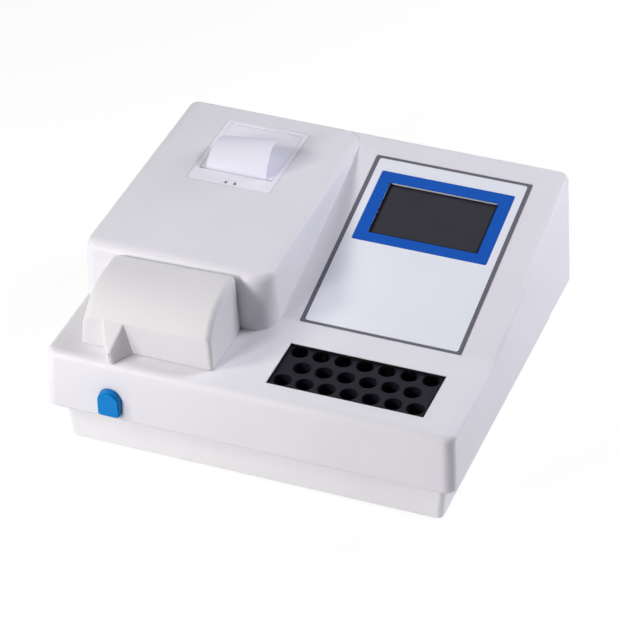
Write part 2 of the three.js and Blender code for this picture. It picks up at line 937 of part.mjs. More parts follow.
function trayInside() {
  const x = trayX - trayWall;
  const y = trayY - trayWall;
  const radius = trayCornerRadius - trayWall;
  return plateGeometry([
    [x - trayTaper, y - trayTaper, radius, trayFloor],
    [x, y, radius, parting + overrun],
  ]);
}

const postPlaces = [];

function post(x, y, top, radius = boardPostRadius) {
  postPlaces.push([x, y, top, radius]);
}

const supplyX1 = right - mainBoardInset;
const supplyX0 = supplyX1 - supplyWidth;
const supplyY1 = back - supplyInset;
const supplyY0 = supplyY1 - supplyDepth;
const mainBoardX1 = right - mainBoardInset;
const mainBoardX0 = mainBoardX1 - mainBoardWidth;
const mainBoardY0 = blockY1 + mainBoardGap;
const mainBoardY1 = supplyY0 - supplyGap;
const mainBoardDepth = mainBoardY1 - mainBoardY0;
const mainBoardZ = trayFloor + boardPost + gap;
const benchTop = deck - benchDrop;
const benchX0 = noseX - benchLeft;
const benchX1 = benchX0 + benchWidth;
const benchY0 = bayY0 - benchOverhang;
const benchY1 = lidY0 + lampSetback + lampBlockSize / 2 + benchOverhang;

for (const x of [mainBoardX0 + boardPostRadius, mainBoardX1 - boardPostRadius]) {
  for (const y of [mainBoardY0 + boardPostRadius, mainBoardY1 - boardPostRadius]) {
    post(x, y, trayFloor + boardPost);
  }
}
for (const x of [benchX0 + benchPostRadius, benchX1 - benchPostRadius]) {
  for (const y of [benchY0 + benchPostRadius, benchY1 - benchPostRadius]) {
    post(x, y, benchTop - benchThickness - gap, benchPostRadius);
  }
}

function feetPlaces() {
  const x = trayX - footInset;
  const y = trayY - footInset;
  return [["front_left", -x, -y], ["front_right", x, -y], ["rear_left", -x, y], ["rear_right", x, y]];
}

function baseTray() {
  const shell = solidOf(trayOutside()).subtract(solidOf(trayInside()));
  const edge = right - wall - gap;
  const depth = back - wall - gap;
  const rim = caseCornerRadius - wall - gap;
  const flange = solidOf(
    plateGeometry([
      [edge, depth, rim, parting],
      [edge - leanShare * flangeThickness, depth, rim, parting + flangeThickness],
    ]),
  );
  const well = solidOf(
    plateGeometry([
      [trayX - trayWall, trayY - trayWall, trayCornerRadius - trayWall, parting - overrun],
      [trayX - trayWall, trayY - trayWall, trayCornerRadius - trayWall, parting + flangeThickness + overrun],
    ]),
  );
  const posts = postPlaces.map(([x, y, top, radius]) =>
    rod("z", radius, trayFloor - trayWall / 2, top, x, y, smallSides),
  );
  const seats = feetPlaces().map(([, x, y]) =>
    rod("z", footRadius + gap, footHeight - overrun, footHeight + footSeat, x, y),
  );
  const screws = bossPlaces().map(([x, y]) =>
    rod("z", screwRadius + slip, parting - overrun, parting + flangeThickness + overrun, x, y, smallSides),
  );
  return cut(join(shell, flange.subtract(well), ...posts), ...seats, ...screws);
}

piece("base_tray", baseTray(), casePlastic());

function foot(x, y) {
  const top = footHeight + footSeat - gap;
  const profile = [
    [0, 0],
    [footRadius - footSeat, 0],
    [footRadius, footSeat],
    [footRadius, top],
    [0, top],
  ].map(([r, z]) => new THREE.Vector2(r, z));
  return solidOf(new THREE.LatheGeometry(profile, roundSides).rotateX(Math.PI / 2).translate(x, y, 0));
}

for (const [place, x, y] of feetPlaces()) {
  piece("foot_" + place, foot(x, y), rubber());
}

// Display panel, screen and board
function panelOverlay() {
  const sheet = roundedRectangle(-panelX, panelX, panelOffset, panelOffset + panelLength, panelCorner);
  const opening = roundedRectangle(
    -surroundX - gap,
    surroundX + gap,
    surroundFoot - gap,
    surroundFoot + surroundLength + gap,
    panelCorner,
  );
  return prism("z", hole(sheet, opening), -filmThickness, 0);
}

function screenSurround() {
  const top = surroundFoot + surroundLength;
  const sheet = roundedRectangle(-surroundX, surroundX, surroundFoot, top, panelCorner);
  const opening = roundedRectangle(-windowX, windowX, windowFoot, windowFoot + windowLength, gap);
  return prism("z", hole(sheet, opening), -filmThickness, 0);
}

function lcdModule() {
  const x = windowX + lcdMargin;
  const y0 = windowFoot - lcdMargin;
  const y1 = windowFoot + windowLength + lcdMargin;
  return block(-x, x, y0, y1, lcdBottom, lcdTop);
}

function displayBoard() {
  const x = windowX + lcdMargin + displayBoardMargin;
  const y0 = windowFoot - lcdMargin - displayBoardMargin;
  const y1 = windowFoot + windowLength + lcdMargin + displayBoardMargin;
  const bottom = displayBoardTop - boardThickness;
  const chips = [-x / 2, 0, x / 2].map((chipX) =>
    block(
      chipX - displayBoardMargin / 2,
      chipX + displayBoardMargin / 2,
      windowFoot + displayBoardMargin,
      windowFoot + displayBoardMargin * 2,
      bottom - chipHeight,
      bottom + boardThickness / 2,
    ),
  );
  return join(block(-x, x, y0, y1, bottom, displayBoardTop), ...chips);
}

piece("panel_overlay", panelOverlay(), paleFilm(), slope);
piece("screen_surround", screenSurround(), blueFilm(), slope);
piece("lcd_module", lcdModule(), screenGlass(), slope);
piece("display_board", displayBoard(), circuit(), slope);

// Tube incubator: two long rows of wells with a staggered row between them
function wellPlaces() {
  const middle = (blockX0 + blockX1) / 2;
  return [wellsPerLongRow, wellsPerLongRow - 1, wellsPerLongRow].flatMap((count, row) =>
    Array.from({ length: count }, (_, i) => [
      middle + (i - (count - 1) / 2) * wellPitch,
      blockY0 + rowSetback + row * rowPitch,
    ]),
  );
}

const blockTop = deck - blockDrop;
const blockBottom = blockTop - blockHeight;
const heaterTop = blockBottom - gap;
const heaterBottom = heaterTop - heaterThickness;
const bracketTop = heaterBottom - gap;

function incubatorBlock() {
  const body = block(blockX0 + slip, blockX1 - slip, blockY0 + slip, blockY1 - slip, blockBottom, blockTop);
  const wells = wellPlaces().map(([x, y]) =>
    rod("z", wellRadius, blockTop - wellDepth, blockTop + overrun, x, y, wellSides),
  );
  return cut(body, ...wells);
}

function incubatorBracket() {
  const x0 = blockX0 - bracketThickness;
  const x1 = blockX1 + bracketThickness;
  const floor = trayFloor + gap;
  const outline = [
    [x0, floor],
    [x0 + bracketLip, floor],
    [x0 + bracketLip, floor + bracketThickness],
    [x0 + bracketThickness, floor + bracketThickness],
    [x0 + bracketThickness, bracketTop - bracketThickness],
    [x1 - bracketThickness, bracketTop - bracketThickness],
    [x1 - bracketThickness, floor + bracketThickness],
    [x1 - bracketLip, floor + bracketThickness],
    [x1 - bracketLip, floor],
    [x1, floor],
    [x1, bracketTop],
    [x0, bracketTop],
  ];
  return prism("y", outline, blockY0, blockY1);
}

piece("incubator_block", incubatorBlock(), anodised());
piece(
  "incubator_heater",
  block(blockX0 + wall, blockX1 - wall, blockY0 + wall, blockY1 - wall, heaterBottom, heaterTop),
  heaterFilm(),
);
piece("incubator_bracket", incubatorBracket(), steel());

// Measuring cover: swept top, sipper hood in front, open back with hinge knuckles inside
const lidFoot = deck + lidLift;
const lidTop = deck + lidHeight;
const browZ = deck + lidBrowHeight;

function lidForm() {
  const corners = [
    corner(lidY0, lidFoot, 0, "wall"),
    corner(lidY0, browZ, lidBrowRadius, "top"),
    corner(lidY0 + lidSlopeRun, lidTop, lidSweepRadius, "top"),
    corner(lidY1, lidTop, lidBackRadius, "wall"),
    corner(lidY1, lidFoot, lidHeelRadius, "base"),
  ];
  const sides = [
    { x: lidX0, corner: lidCornerRadius, top: lidLeftRadius, lean: lidLeftLeanShare },
    { x: lidX1, corner: lidCornerRadius, top: lidRightRadius, lean: lidRightLeanShare },
  ];
  return { corners, sides, foot: lidFoot };
}

// The cover is a little taller towards its right end.
function lidGrowth(x) {
  return 1 + (lidRiseShare * (x - lidX0)) / lidWidth;
}

function raised(geometry) {
  const place = geometry.attributes.position;
  for (let i = 0; i < place.count; i++) {
    place.setZ(i, lidFoot + (place.getZ(i) - lidFoot) * lidGrowth(place.getX(i)));
  }
  return geometry;
}

const noseSteps = 3;

// The beak's cross-section at a distance from its tip. Its left wall stands upright and its right wall
// spreads towards the foot. Its plan and its top edge are round at the tip.
function noseRing(y, tip, inset) {
  const away = y - tip;
  const share = Math.max(lidY0 - y, 0) / noseReach;
  const leftTaper = noseTipLeft - noseTipWidth / 2;
  const rightTaper = noseWidth - noseTipLeft - noseTipWidth / 2;
  const footLeft = noseX0 + leftTaper * share;
  const footRight = noseX0 + noseWidth - rightTaper * share;
  const flare = noseFlareShare * (footRight - footLeft);
  const drawn = roundInset(noseTipRadius, inset === 0 ? away : noseTipRadius);
  const x0 = footLeft + inset * Math.hypot(1, leftTaper / noseReach) + drawn;
  const x1 = footRight - inset * Math.hypot(1, rightTaper / noseReach) - drawn;
  const brow = browZ + (y - lidY0) * noseSlopeShare - inset * Math.hypot(1, noseSlopeShare);
  const top = brow - roundInset(noseBrowRadius, inset === 0 ? away : noseBrowRadius);
  const base = inset === 0 ? lidFoot : lidFoot - overrun;
  const radius = Math.min(noseEdgeRadius, (x1 - x0 - flare) / 2 - gap);
  const ring = [new THREE.Vector3(x0, y, base), new THREE.Vector3(x1, y, base)];
  for (const [middle, from] of [[x1 - flare - radius, 0], [x0 + radius, 1]]) {
    for (let k = 0; k <= noseSteps; k++) {
      const angle = (from + k / noseSteps) * (Math.PI / 2);
      const z = top - radius + radius * Math.sin(angle);
      ring.push(new THREE.Vector3(middle + radius * Math.cos(angle), y, z));
    }
  }
  return ring;
}

function noseGeometry(inset) {
  const root = lidY0 + lidBrowRadius + gap * 2;
  const tip = lidY0 - noseReach + inset * 2;
  const round = Math.max(noseTipRadius, noseBrowRadius);
  const rings = Array.from({ length: arcSteps + 1 }, (_, k) =>
    noseRing(tip + round * (1 - Math.cos((k / arcSteps) * (Math.PI / 2))), tip, inset),
  );
  const roots = [root, lidY0].map((y) => noseRing(y, tip, inset));
  return skin([...roots, ...rings.reverse()], (p) => new THREE.Vector2(p.x, p.z));
}

const hingePostX = [lidX0 + hingePostInset, lidX1 - hingePostInset];

function measuringCover() {
  const solid = join(solidOf(raised(mouldedGeometry(lidForm()))), solidOf(raised(noseGeometry(0))));
  const space = join(solidOf(raised(hollowGeometry(lidForm()))), solidOf(raised(noseGeometry(noseWall))));
  const backOpening = block(
    lidX0 + lidBackMargin,
    lidX1 - lidBackMargin,
    lidY1 - wall * 2,
    lidY1 + overrun,
    lidFoot - overrun,
    hingeZ + wall / 2,
  );
  const knuckles = hingePostX.map((x, i) => {
    const start = x + (i === 0 ? hingePostWidth / 2 + gap : -hingePostWidth / 2 - gap - knuckleWidth);
    const top = lidFoot + (lidTop - lidFoot) * lidGrowth(start) - wall / 2;
    return join(
      rod("x", hingeBossRadius, start, start + knuckleWidth, hingeY, hingeZ),
      block(start, start + knuckleWidth, hingeY - hingeBossRadius, hingeY + wall, hingeZ, top),
    );
  });
  const bore = rod("x", hingeRodRadius + gap, hingePostX[0], hingePostX[1], hingeY, hingeZ);
  return cut(join(cut(solid.subtract(space), backOpening), ...knuckles), bore);
}

piece("measuring_cover", measuringCover(), lidPlastic());

function hingePost(x) {
  const x0 = x - hingePostWidth / 2;
  const x1 = x + hingePostWidth / 2;
  const foot = deck + gap;
  const backFace = hingeY + gap;
  const frontFace = backFace - hingePostThickness;
  const web = block(x0, x1, frontFace, backFace, foot, hingeZ);
  const boss = rod("x", hingeBossRadius, x0, x1, hingeY, hingeZ);
  const sole = block(x0, x1, frontFace, frontFace + hingeFootDepth, foot, foot + hingePostFoot);
  const bore = rod("x", hingeRodRadius + gap, x0 - overrun, x1 + overrun, hingeY, hingeZ);
  return cut(join(web, boss, sole), bore);
}

piece("hinge_post_left", hingePost(hingePostX[0]), aluminium());
piece("hinge_post_right", hingePost(hingePostX[1]), aluminium());

function hingeRod() {
  const reach = hingePostWidth / 2;
  return rod("x", hingeRodRadius, hingePostX[0] - reach, hingePostX[1] + reach, hingeY, hingeZ);
}

piece("hinge_rod", hingeRod(), steel());

// Measuring bay: a moulded pan hung under the deck
const pumpX = bayX1 - bayWall - pumpRadius - pumpWall - slip;
const pumpY = cellY;
const pumpFoot = bayFloor + gap;

function measuringBay() {
  const x0 = bayX0 + slip;
  const x1 = bayX1 - slip;
  const y0 = bayY0 + slip;
  const y1 = bayY1 - slip;
  const under = deck - wall - gap;
  const pan = block(x0, x1, y0, y1, bayFloor - bayWall, deck - gap);
  const lip = block(x0 - bayLip, x1 + bayLip, y0 - bayLip, y1 + bayLip, under - bayWall, under);
  const space = block(x0 + bayWall, x1 - bayWall, y0 + bayWall, y1 - bayWall, bayFloor, deck + overrun);
  const beam = rod("y", beamRadius, bayY0 - overrun, bayY1 + overrun, noseX, beamZ, smallSides);
  const [z0, z1] = [bayFloor - overrun, bayFloor + overrun];
  const through = (radius, x, y) => rod("z", radius, z0, z1, x, y, smallSides);
  const shaft = through(pumpShaftRadius + slip, pumpX, pumpY);
  const drain = through(tubeRadius * 2, drainHoleX, drainHoleY);
  return cut(join(pan, lip), space, beam, shaft, drain);
}

const drainHoleX = pumpX - pumpRadius - pumpWall - tubeBend * 1.5;
const drainHoleY = pumpY + pumpRadius - gap - pumpTubeRadius;

piece("measuring_bay", measuringBay(), blackPlastic());

// Flow cell and its holder
const holderFoot = bayFloor + gap;
const holderTop = holderFoot + holderHeight;
const cellFoot = holderFoot + wall;
const cellTop = cellFoot + cellHeight;

function flowCellHolder() {
  const x = holderWidth / 2;
  const y = holderDepth / 2;
  const pocket = cellSize / 2 + cellClearance;
  const outline = roundedRectangle(noseX - x, noseX + x, cellY - y, cellY + y, wall);
  const top = holderTop + overrun;
  return cut(
    prism("z", outline, holderFoot, holderTop),
    block(noseX - pocket, noseX + pocket, cellY - pocket, cellY + pocket, cellFoot - gap, top),
    rod("y", beamRadius, cellY - y - overrun, cellY + y + overrun, noseX, beamZ, smallSides),
  );
}

function flowCell() {
  const half = cellSize / 2;
  const capHalf = half + wall / 2;
  const capFoot = cellTop - cellCapHeight;
  const body = block(noseX - half, noseX + half, cellY - half, cellY + half, cellFoot, capFoot);
  const cap = block(noseX - capHalf, noseX + capHalf, cellY - capHalf, cellY + capHalf, capFoot, cellTop);
  const sockets = [sipX, outX].map((x) =>
    rod("z", tubeRadius + gap * 2, capFoot + gap, cellTop + overrun, x, cellY, smallSides),
  );
  return cut(join(body, cap), ...sockets);
}

const sipX = noseX - cellSize / 4;
const outX = noseX + cellSize / 4;

piece("flow_cell_holder", flowCellHolder(), anodised());
piece("flow_cell", flowCell(), glass());

// Tubes follow smooth curves through a few points.
function tube(points, radius, steps, sides = 8) {
  const path = new THREE.CatmullRomCurve3(points, false, "centripetal");
  const section = new THREE.Shape(
    Array.from({ length: sides }, (_, i) => {
      const angle = (i / sides) * 2 * Math.PI;
      return new THREE.Vector2(radius * Math.cos(angle), radius * Math.sin(angle));
    }),
  );
  return solidOf(new THREE.ExtrudeGeometry(section, { steps, bevelEnabled: false, extrudePath: path }));
}

const tubeSeat = cellTop - cellCapHeight + gap * 2;

function sipperTube() {
  const tip = lidY0 - noseReach + tubeBend;
  const points = [
    new THREE.Vector3(sipX, cellY, tubeSeat),
    new THREE.Vector3(sipX, cellY, cellTop),
    new THREE.Vector3(sipX, cellY, cellTop + tubeBend / 3),
    new THREE.Vector3(sipX, cellY - tubeBend, cellTop + tubeBend),
    new THREE.Vector3(sipX, bayY0, cellTop - tubeBend),
    new THREE.Vector3((sipX + noseX) / 2, lidY0, deck + tubeBend * 2),
    new THREE.Vector3(noseX, tip, deck + tubeBend),
    new THREE.Vector3(noseX, tip, deck + tubeRadius + gap),
  ];
  return tube(points, tubeRadius, 24, 6);
}

piece("sipper_tube", sipperTube(), siliconeTube());

// Peristaltic pump: a cup with a round track, a rotor with free rollers, and the tube between them
const pumpTrack = pumpRadius;
const tubeOrbit = pumpTrack - gap - pumpTubeRadius;
const rollerOrbit = tubeOrbit - pumpTubeRadius - gap * 2 - rollerRadius;
const pumpInner = pumpFoot + pumpFloor;
const rollerFoot = pumpInner + gap + rotorPlate + gap;
const tubeLevel = rollerFoot + rollerHeight / 2;

function pumpHead() {
  const outer = pumpRadius + pumpWall;
  const cup = rod("z", outer, pumpFoot, pumpFoot + pumpHeight, pumpX, pumpY, largeSides);
  const track = rod("z", pumpTrack, pumpInner, pumpFoot + pumpHeight + overrun, pumpX, pumpY, largeSides);
  const half = pumpTubeRadius + slip * 2;
  const mouths = [-1, 1].map((side) =>
    block(
      pumpX - outer - overrun,
      pumpX,
      pumpY + side * tubeOrbit - half,
      pumpY + side * tubeOrbit + half,
      tubeLevel - half,
      pumpFoot + pumpHeight + overrun,
    ),
  );
  const shaftRadius = pumpShaftRadius + slip;
  const bore = rod("z", shaftRadius, pumpFoot - overrun, pumpInner + overrun, pumpX, pumpY, smallSides);
  return cut(cup, track, bore, ...mouths);
}

function pumpRotor() {
  const plate = (z) =>
    rod("z", rollerOrbit + rollerRadius / 2, z, z + rotorPlate, pumpX, pumpY, roundSides);
  const top = rollerFoot + rollerHeight + rotorPlate;
  const shaftFoot = bayFloor - bayWall - wall;
  const hub = rod("z", rotorHubRadius, pumpInner + gap, top + gap * 2, pumpX, pumpY);
  const shaft = rod("z", pumpShaftRadius, shaftFoot, pumpInner + wall, pumpX, pumpY, smallSides);
  const pins = rollerPlaces().map(([x, y]) =>
    rod("z", pumpShaftRadius / 2, pumpInner + gap * 2, top, x, y, smallSides),
  );
  return join(plate(pumpInner + gap), plate(rollerFoot + rollerHeight + gap), hub, shaft, ...pins);
}

function rollerPlaces() {
  return Array.from({ length: rollerCount }, (_, i) => {
    const angle = ((i + 1 / 2) / rollerCount) * 2 * Math.PI;
    return [pumpX + rollerOrbit * Math.cos(angle), pumpY + rollerOrbit * Math.sin(angle)];
  });
}

function pumpRoller(x, y) {
  const sleeve = rod("z", rollerRadius, rollerFoot, rollerFoot + rollerHeight, x, y);
  const [foot, top] = [rollerFoot - overrun, rollerFoot + rollerHeight + overrun];
  return sleeve.subtract(rod("z", pumpShaftRadius / 2 + gap, foot, top, x, y, smallSides));
}

// From the flow cell's outlet, round the pump's track and down through the bay's floor to the drain port.
function pumpTube() {
  const turns = 10;
  const arc = Array.from({ length: turns + 1 }, (_, i) => {
    const angle = -Math.PI / 2 + (Math.PI * i) / turns;
    const [x, y] = [pumpX + tubeOrbit * Math.cos(angle), pumpY + tubeOrbit * Math.sin(angle)];
    return new THREE.Vector3(x, y, tubeLevel);
  });
  const mouth = pumpX - pumpRadius - pumpWall - tubeRadius;
  const points = [
    new THREE.Vector3(outX, cellY, tubeSeat),
    new THREE.Vector3(outX, cellY, cellTop),
    new THREE.Vector3(outX, cellY, cellTop + tubeBend / 3),
    new THREE.Vector3(outX + tubeBend, cellY, cellTop + tubeBend),
    new THREE.Vector3((outX + mouth) / 2, pumpY - tubeOrbit / 2, deck),
    new THREE.Vector3(mouth - tubeBend, pumpY - tubeOrbit, tubeLevel + tubeRadius),
    new THREE.Vector3(mouth, pumpY - tubeOrbit, tubeLevel),
    ...arc,
    new THREE.Vector3(mouth, pumpY + tubeOrbit, tubeLevel),
    new THREE.Vector3(drainHoleX, drainHoleY, bayFloor + tubeBend / 2),
    new THREE.Vector3(drainHoleX, drainHoleY, bayFloor - bayWall - tubeBend / 2),
    new THREE.Vector3(drainHoleX + tubeBend * 2, bayY1 + tubeBend, bayFloor - tubeBend * 3),
    new THREE.Vector3(benchX1 + tubeBend / 2, wheelY, benchTop + tubeBend * 2),
    new THREE.Vector3(benchX1 + tubeBend / 2, lampY, benchTop + tubeBend * 2),
    new THREE.Vector3(drainX, back - portBody * 6, drainZ),
    new THREE.Vector3(drainX, back - wall - portBody - gap, drainZ),
  ];
  return tube(points, tubeRadius, 56, 6);
}

piece("pump_head", pumpHead(), whitePlastic());
piece("pump_rotor", pumpRotor(), steel());
rollerPlaces().forEach(([x, y], i) => piece("pump_roller_" + (i + 1), pumpRoller(x, y), whitePlastic()));
piece("drain_tube", pumpTube(), siliconeTube());

function pumpMotor() {
  const top = bayFloor - bayWall - gap;
  const body = rod("z", pumpMotorRadius, top - pumpMotorHeight, top, pumpX, pumpY);
  const socket = rod("z", pumpShaftRadius + gap, top - wall - gap, top + overrun, pumpX, pumpY, smallSides);
  const foot = top - pumpMotorHeight;
  const tail = rod("z", pumpMotorRadius / 2, foot - wall, foot + gap, pumpX, pumpY);
  return cut(join(body, tail), socket);
}

piece("pump_motor", pumpMotor(), steel());

// Strip printer: bezel with its paper bucket
function bucketOutline(grow) {
  const top = grow > 0 ? -bezelThickness / 2 : overrun;
  const radius = rollRadius + rollClearance + grow;
  const y0 = barBack - grow;
  const y1 = bucketBack + grow;
  const shape = new THREE.Shape();
  shape.moveTo(y0, top);
  shape.lineTo(y0, -bucketFoot - grow / 2);
  shape.absarc(rollY, rollZ, radius, (-5 * Math.PI) / 6, -Math.PI / 6);
  shape.lineTo(y1, rollZ + rollRadius / 2);
  shape.lineTo(y1, top);
  return shape;
}

function gearAxle() {
  const reach = ((platenTeeth + driveTeeth) * gearModule) / 2 + gearModule * gearPlayShare;
  return [platenY - reach * Math.cos(driveAngle), platenZ - reach * Math.sin(driveAngle)];
}

const driveAngle = Math.PI / 5;
const gearX0 = bayHalf - gap - gearThickness;
const gearX1 = bayHalf - gap;
const driveTip = (driveTeeth / 2 + 1) * gearModule;

function printerFrame() {
  const outline = roundedRectangle(-bezelX, bezelX, -bezelY, bezelY, bezelCorner);
  const plate = prism("z", outline, -bezelThickness, 0);
  const bucket = prism("x", bucketOutline(bucketWall), -bucketX, bucketX, 12);
  const cheekFoot = -bucketFoot;
  const cheeks = [-1, 1].map((side) => {
    const inner = side * bayHalf;
    const outer = side * bucketX;
    const [x0, x1] = [Math.min(inner, outer), Math.max(inner, outer)];
    return block(x0, x1, tabFront, barBack, cheekFoot, -bezelThickness / 2);
  });
  const [driveY, driveZ] = gearAxle();
  const far = bucketX + overrun;
  const pivots = rod("x", doorPinRadius + gap, -far, far, doorHingeY, doorHingeZ, smallSides);
  const driveBore = rod("x", platenShaftRadius / 2 + gap, 0, bucketX + overrun, driveY, driveZ, smallSides);
  const windowFootZ = driveZ - driveTip - gap * 2;
  const headWindow = block(-bayHalf, bayHalf, barBack - overrun, barBack + gap, windowFootZ, -bezelThickness);
  const tabX0 = tabOffset - tabWidth / 2 - slip;
  const tabX1 = tabOffset + tabWidth / 2 + slip;
  const under = -bezelThickness - overrun;
  return cut(
    join(plate, bucket, ...cheeks),
    prism("x", bucketOutline(0), -bayHalf, bayHalf, 12),
    pivots,
    driveBore,
    headWindow,
    block(tabX0 - tabNotch, tabX1 + tabNotch, tabFront, tabFront + tabNotch * 2, under, overrun),
    block(tabX0, tabX1, tabFront, tabBack + slip, under, overrun),
  );
}

piece("printer_frame", printerFrame(), whitePlastic(), printer);

function printerDoor() {
  const half = bayHalf - gap;
  const outline = new THREE.Shape();
  outline.moveTo(doorFront, 0);
  outline.lineTo(doorFront, -doorThickness);
  outline.lineTo(doorHingeY, -doorThickness);
  outline.lineTo(doorHingeY, doorHingeZ - doorHingeRadius);
  outline.absarc(doorHingeY, doorHingeZ, doorHingeRadius, -Math.PI / 2, Math.PI / 2);
  const plate = prism("x", outline, -half, half, 6);
  const pins = rod("x", doorPinRadius, -bucketX + gap, bucketX - gap, doorHingeY, doorHingeZ, smallSides);
  const skirts = [-1, 1].map((side) => {
    const inner = side * (rollWidth / 2 + gap * 4);
    const outer = inner + side * doorSkirt;
    const shape = new THREE.Shape();
    shape.moveTo(doorFront, -doorThickness / 2);
    shape.lineTo(doorFront, platenZ);
    shape.absarc(platenY, platenZ, platenRadius, -Math.PI, 0);
    shape.lineTo(platenY + platenRadius * 3, -doorThickness / 2);
    return prism("x", shape, Math.min(inner, outer), Math.max(inner, outer), 4);
  });
  const bore = rod("x", platenShaftRadius + gap, -half, half, platenY, platenZ, smallSides);
  return cut(join(plate, pins, ...skirts), bore);
}

piece("printer_door", printerDoor(), whitePlastic(), printer);

// Involute spur gear about the X axis, with its first tooth on the given bearing
function gear(teeth, x0, x1, y, z, bearing) {
  const pitch = (teeth * gearModule) / 2;
  const base = pitch * Math.cos(Math.PI / 9);
  const tip = pitch + gearModule;
  const root = pitch - gearModule * (1 + gearBacklashShare);
  const involute = (radius) => {
    const ratio = Math.max(radius / base, 1);
    const angle = Math.acos(1 / ratio);
    return Math.tan(angle) - angle;
  };
  const halfTooth = (Math.PI / 2 / teeth) * (1 - gearBacklashShare) + involute(pitch);
  const outline = [];
  for (let i = 0; i < teeth; i++) {
    const middle = bearing + (i / teeth) * 2 * Math.PI;
    const flank = [root, pitch, tip].map((radius) => [radius, halfTooth - involute(radius)]);
    const points = [
      ...flank.map(([radius, angle]) => [radius, middle - angle]),
      ...flank.reverse().map(([radius, angle]) => [radius, middle + angle]),
    ];
    for (const [radius, angle] of points) {
      outline.push([y + radius * Math.cos(angle), z + radius * Math.sin(angle)]);
    }
  }
  return prism("x", outline, x0, x1);
}

function platenRoller() {
  const sleeve = rod("x", platenRadius, -rollWidth / 2 - gap, rollWidth / 2 + gap, platenY, platenZ);
  const shaft = rod("x", platenShaftRadius, -bayHalf + gap * 2, gearX1, platenY, platenZ, smallSides);
  return join(sleeve, shaft, gear(platenTeeth, gearX0, gearX1, platenY, platenZ, Math.PI + driveAngle));
}

function driveGear() {
  const [y, z] = gearAxle();
  const shaft = rod("x", platenShaftRadius / 2, motorFace - wall, bucketX - gap, y, z, smallSides);
  return join(gear(driveTeeth, gearX0, gearX1, y, z, driveAngle + Math.PI / driveTeeth), shaft);
}

const motorFace = gearX0 - gap * 2;
function printerMotor() {
  const [y, z] = gearAxle();
  const body = rod("x", printerMotorRadius, motorFace - printerMotorLength, motorFace, y, z);
  const bore = platenShaftRadius / 2 + gap;
  const socket = rod("x", bore, motorFace - wall - gap, motorFace + overrun, y, z, smallSides);
  return body.subtract(socket);
}

piece("platen_roller", platenRoller(), rubber(), printer);
piece("drive_gear", driveGear(), brass(), printer);
piece("printer_motor", printerMotor(), steel(), printer);

function thermalHead() {
  const face = barBack + (slotLength - paperThickness) / 2 - gap;
  const half = rollWidth / 2;
  const top = -bezelThickness - gap;
  const bottom = top - headHeight;
  const plate = block(-half, half, face - headThickness, face, bottom, top);
  return plate;
}

piece("thermal_head", thermalHead(), aluminium(), printer);

function releaseTab() {
  const x0 = tabOffset - tabWidth / 2;
  const x1 = tabOffset + tabWidth / 2;
  const pad = block(x0, x1, tabFront + gap, tabBack, -tabThickness, 0);
  const stem = block(
    tabOffset - tabStemWidth / 2,
    tabOffset + tabStemWidth / 2,
    tabBack - tabStemDepth,
    tabBack,
    -tabStem,
    -tabThickness / 2,
  );
  return join(pad, stem);
}

piece("release_tab", releaseTab(), whitePlastic(), printer);

function paperRoll() {
  const half = rollWidth / 2;
  const roll = rod("x", rollRadius, -half, half, rollY, rollZ, largeSides);
  return roll.subtract(rod("x", rollCoreRadius, -half - overrun, half + overrun, rollY, rollZ));
}

piece("paper_roll", paperRoll(), paper(), printer);

// The printed strip: off the top of the roll, under and round the platen, up through the slot, then
// curling back over the door. Its left edge lies lower than its right edge.
const curlShares = [[0, 0], [0.03, 0.27], [0.14, 0.58], [0.3, 0.84], [0.52, 1], [0.74, 0.96], [1, 0.68]];
const wrapSteps = 4;
const stripSteps = 22;

function stripPath(rise) {
  const orbit = platenRadius + gap + paperThickness / 2;
  const lift = rollRadius + gap + paperThickness / 2;
  const span = Math.hypot(rollY - platenY, rollZ - platenZ);
  const heading = Math.atan2(rollZ - platenZ, rollY - platenY);
  const lean = Math.acos((orbit + lift) / span);
  const away = heading - lean;
  const start = [rollY - lift * Math.cos(away), rollZ - lift * Math.sin(away)];
  const wrap = Array.from({ length: wrapSteps + 1 }, (_, k) => {
    const angle = away + ((-Math.PI - away) * k) / wrapSteps;
    return [platenY + orbit * Math.cos(angle), platenZ + orbit * Math.sin(angle)];
  });
  const y = platenY - orbit;
  const curl = curlShares.map(([along, up]) => [y + along * paperReach, up * rise]);
  return new THREE.CatmullRomCurve3(
    [start, ...wrap, [y, platenZ / 2], ...curl].map(([py, pz]) => new THREE.Vector3(0, py, pz)),
    false,
    "centripetal",
  );
}

function paperStrip() {
  const half = rollWidth / 2;
  const across = [[-half, paperLeftRise], [0, (paperLeftRise + paperRise) / 2], [half, paperRise]];
  const rings = across.map(([x, rise]) => {
    const path = stripPath(rise);
    const sides = [1, -1].map((side) =>
      Array.from({ length: stripSteps + 1 }, (_, k) => {
        const at = path.getPoint(k / stripSteps);
        const along = path.getTangent(k / stripSteps);
        const offset = (side * paperThickness) / 2;
        return new THREE.Vector3(x, at.y - along.z * offset, at.z + along.y * offset);
      }),
    );
    return [...sides[0], ...sides[1].reverse()];
  });
  return solidOf(skin(rings, (p) => new THREE.Vector2(p.y, p.z)));
}

piece("paper_strip", paperStrip(), paper(), printer);

// Aspirate key in the front wall
function aspirateKey() {
  const faceY = front - keyProud;
  const backY = faceY + keyDepth + keyProud;
  const body = prism("y", keyOutline(0), faceY + keyEdge, backY, smallSides);
  const face = prism("y", keyOutline(-keyEdge / 2), faceY, faceY + keyEdge * 2, smallSides);
  const flange = prism("y", keyOutline(keyFlange), backY - keyFlangeThickness, backY, smallSides);
  const middle = (keyZ0 + keyZ1) / 2;
  const stem = rod("y", keyStemRadius, backY - gap, backY + keyStemLength, keyX, middle, smallSides);
  return join(body, face, flange, stem);
}

piece("aspirate_key", aspirateKey(), bluePlastic());

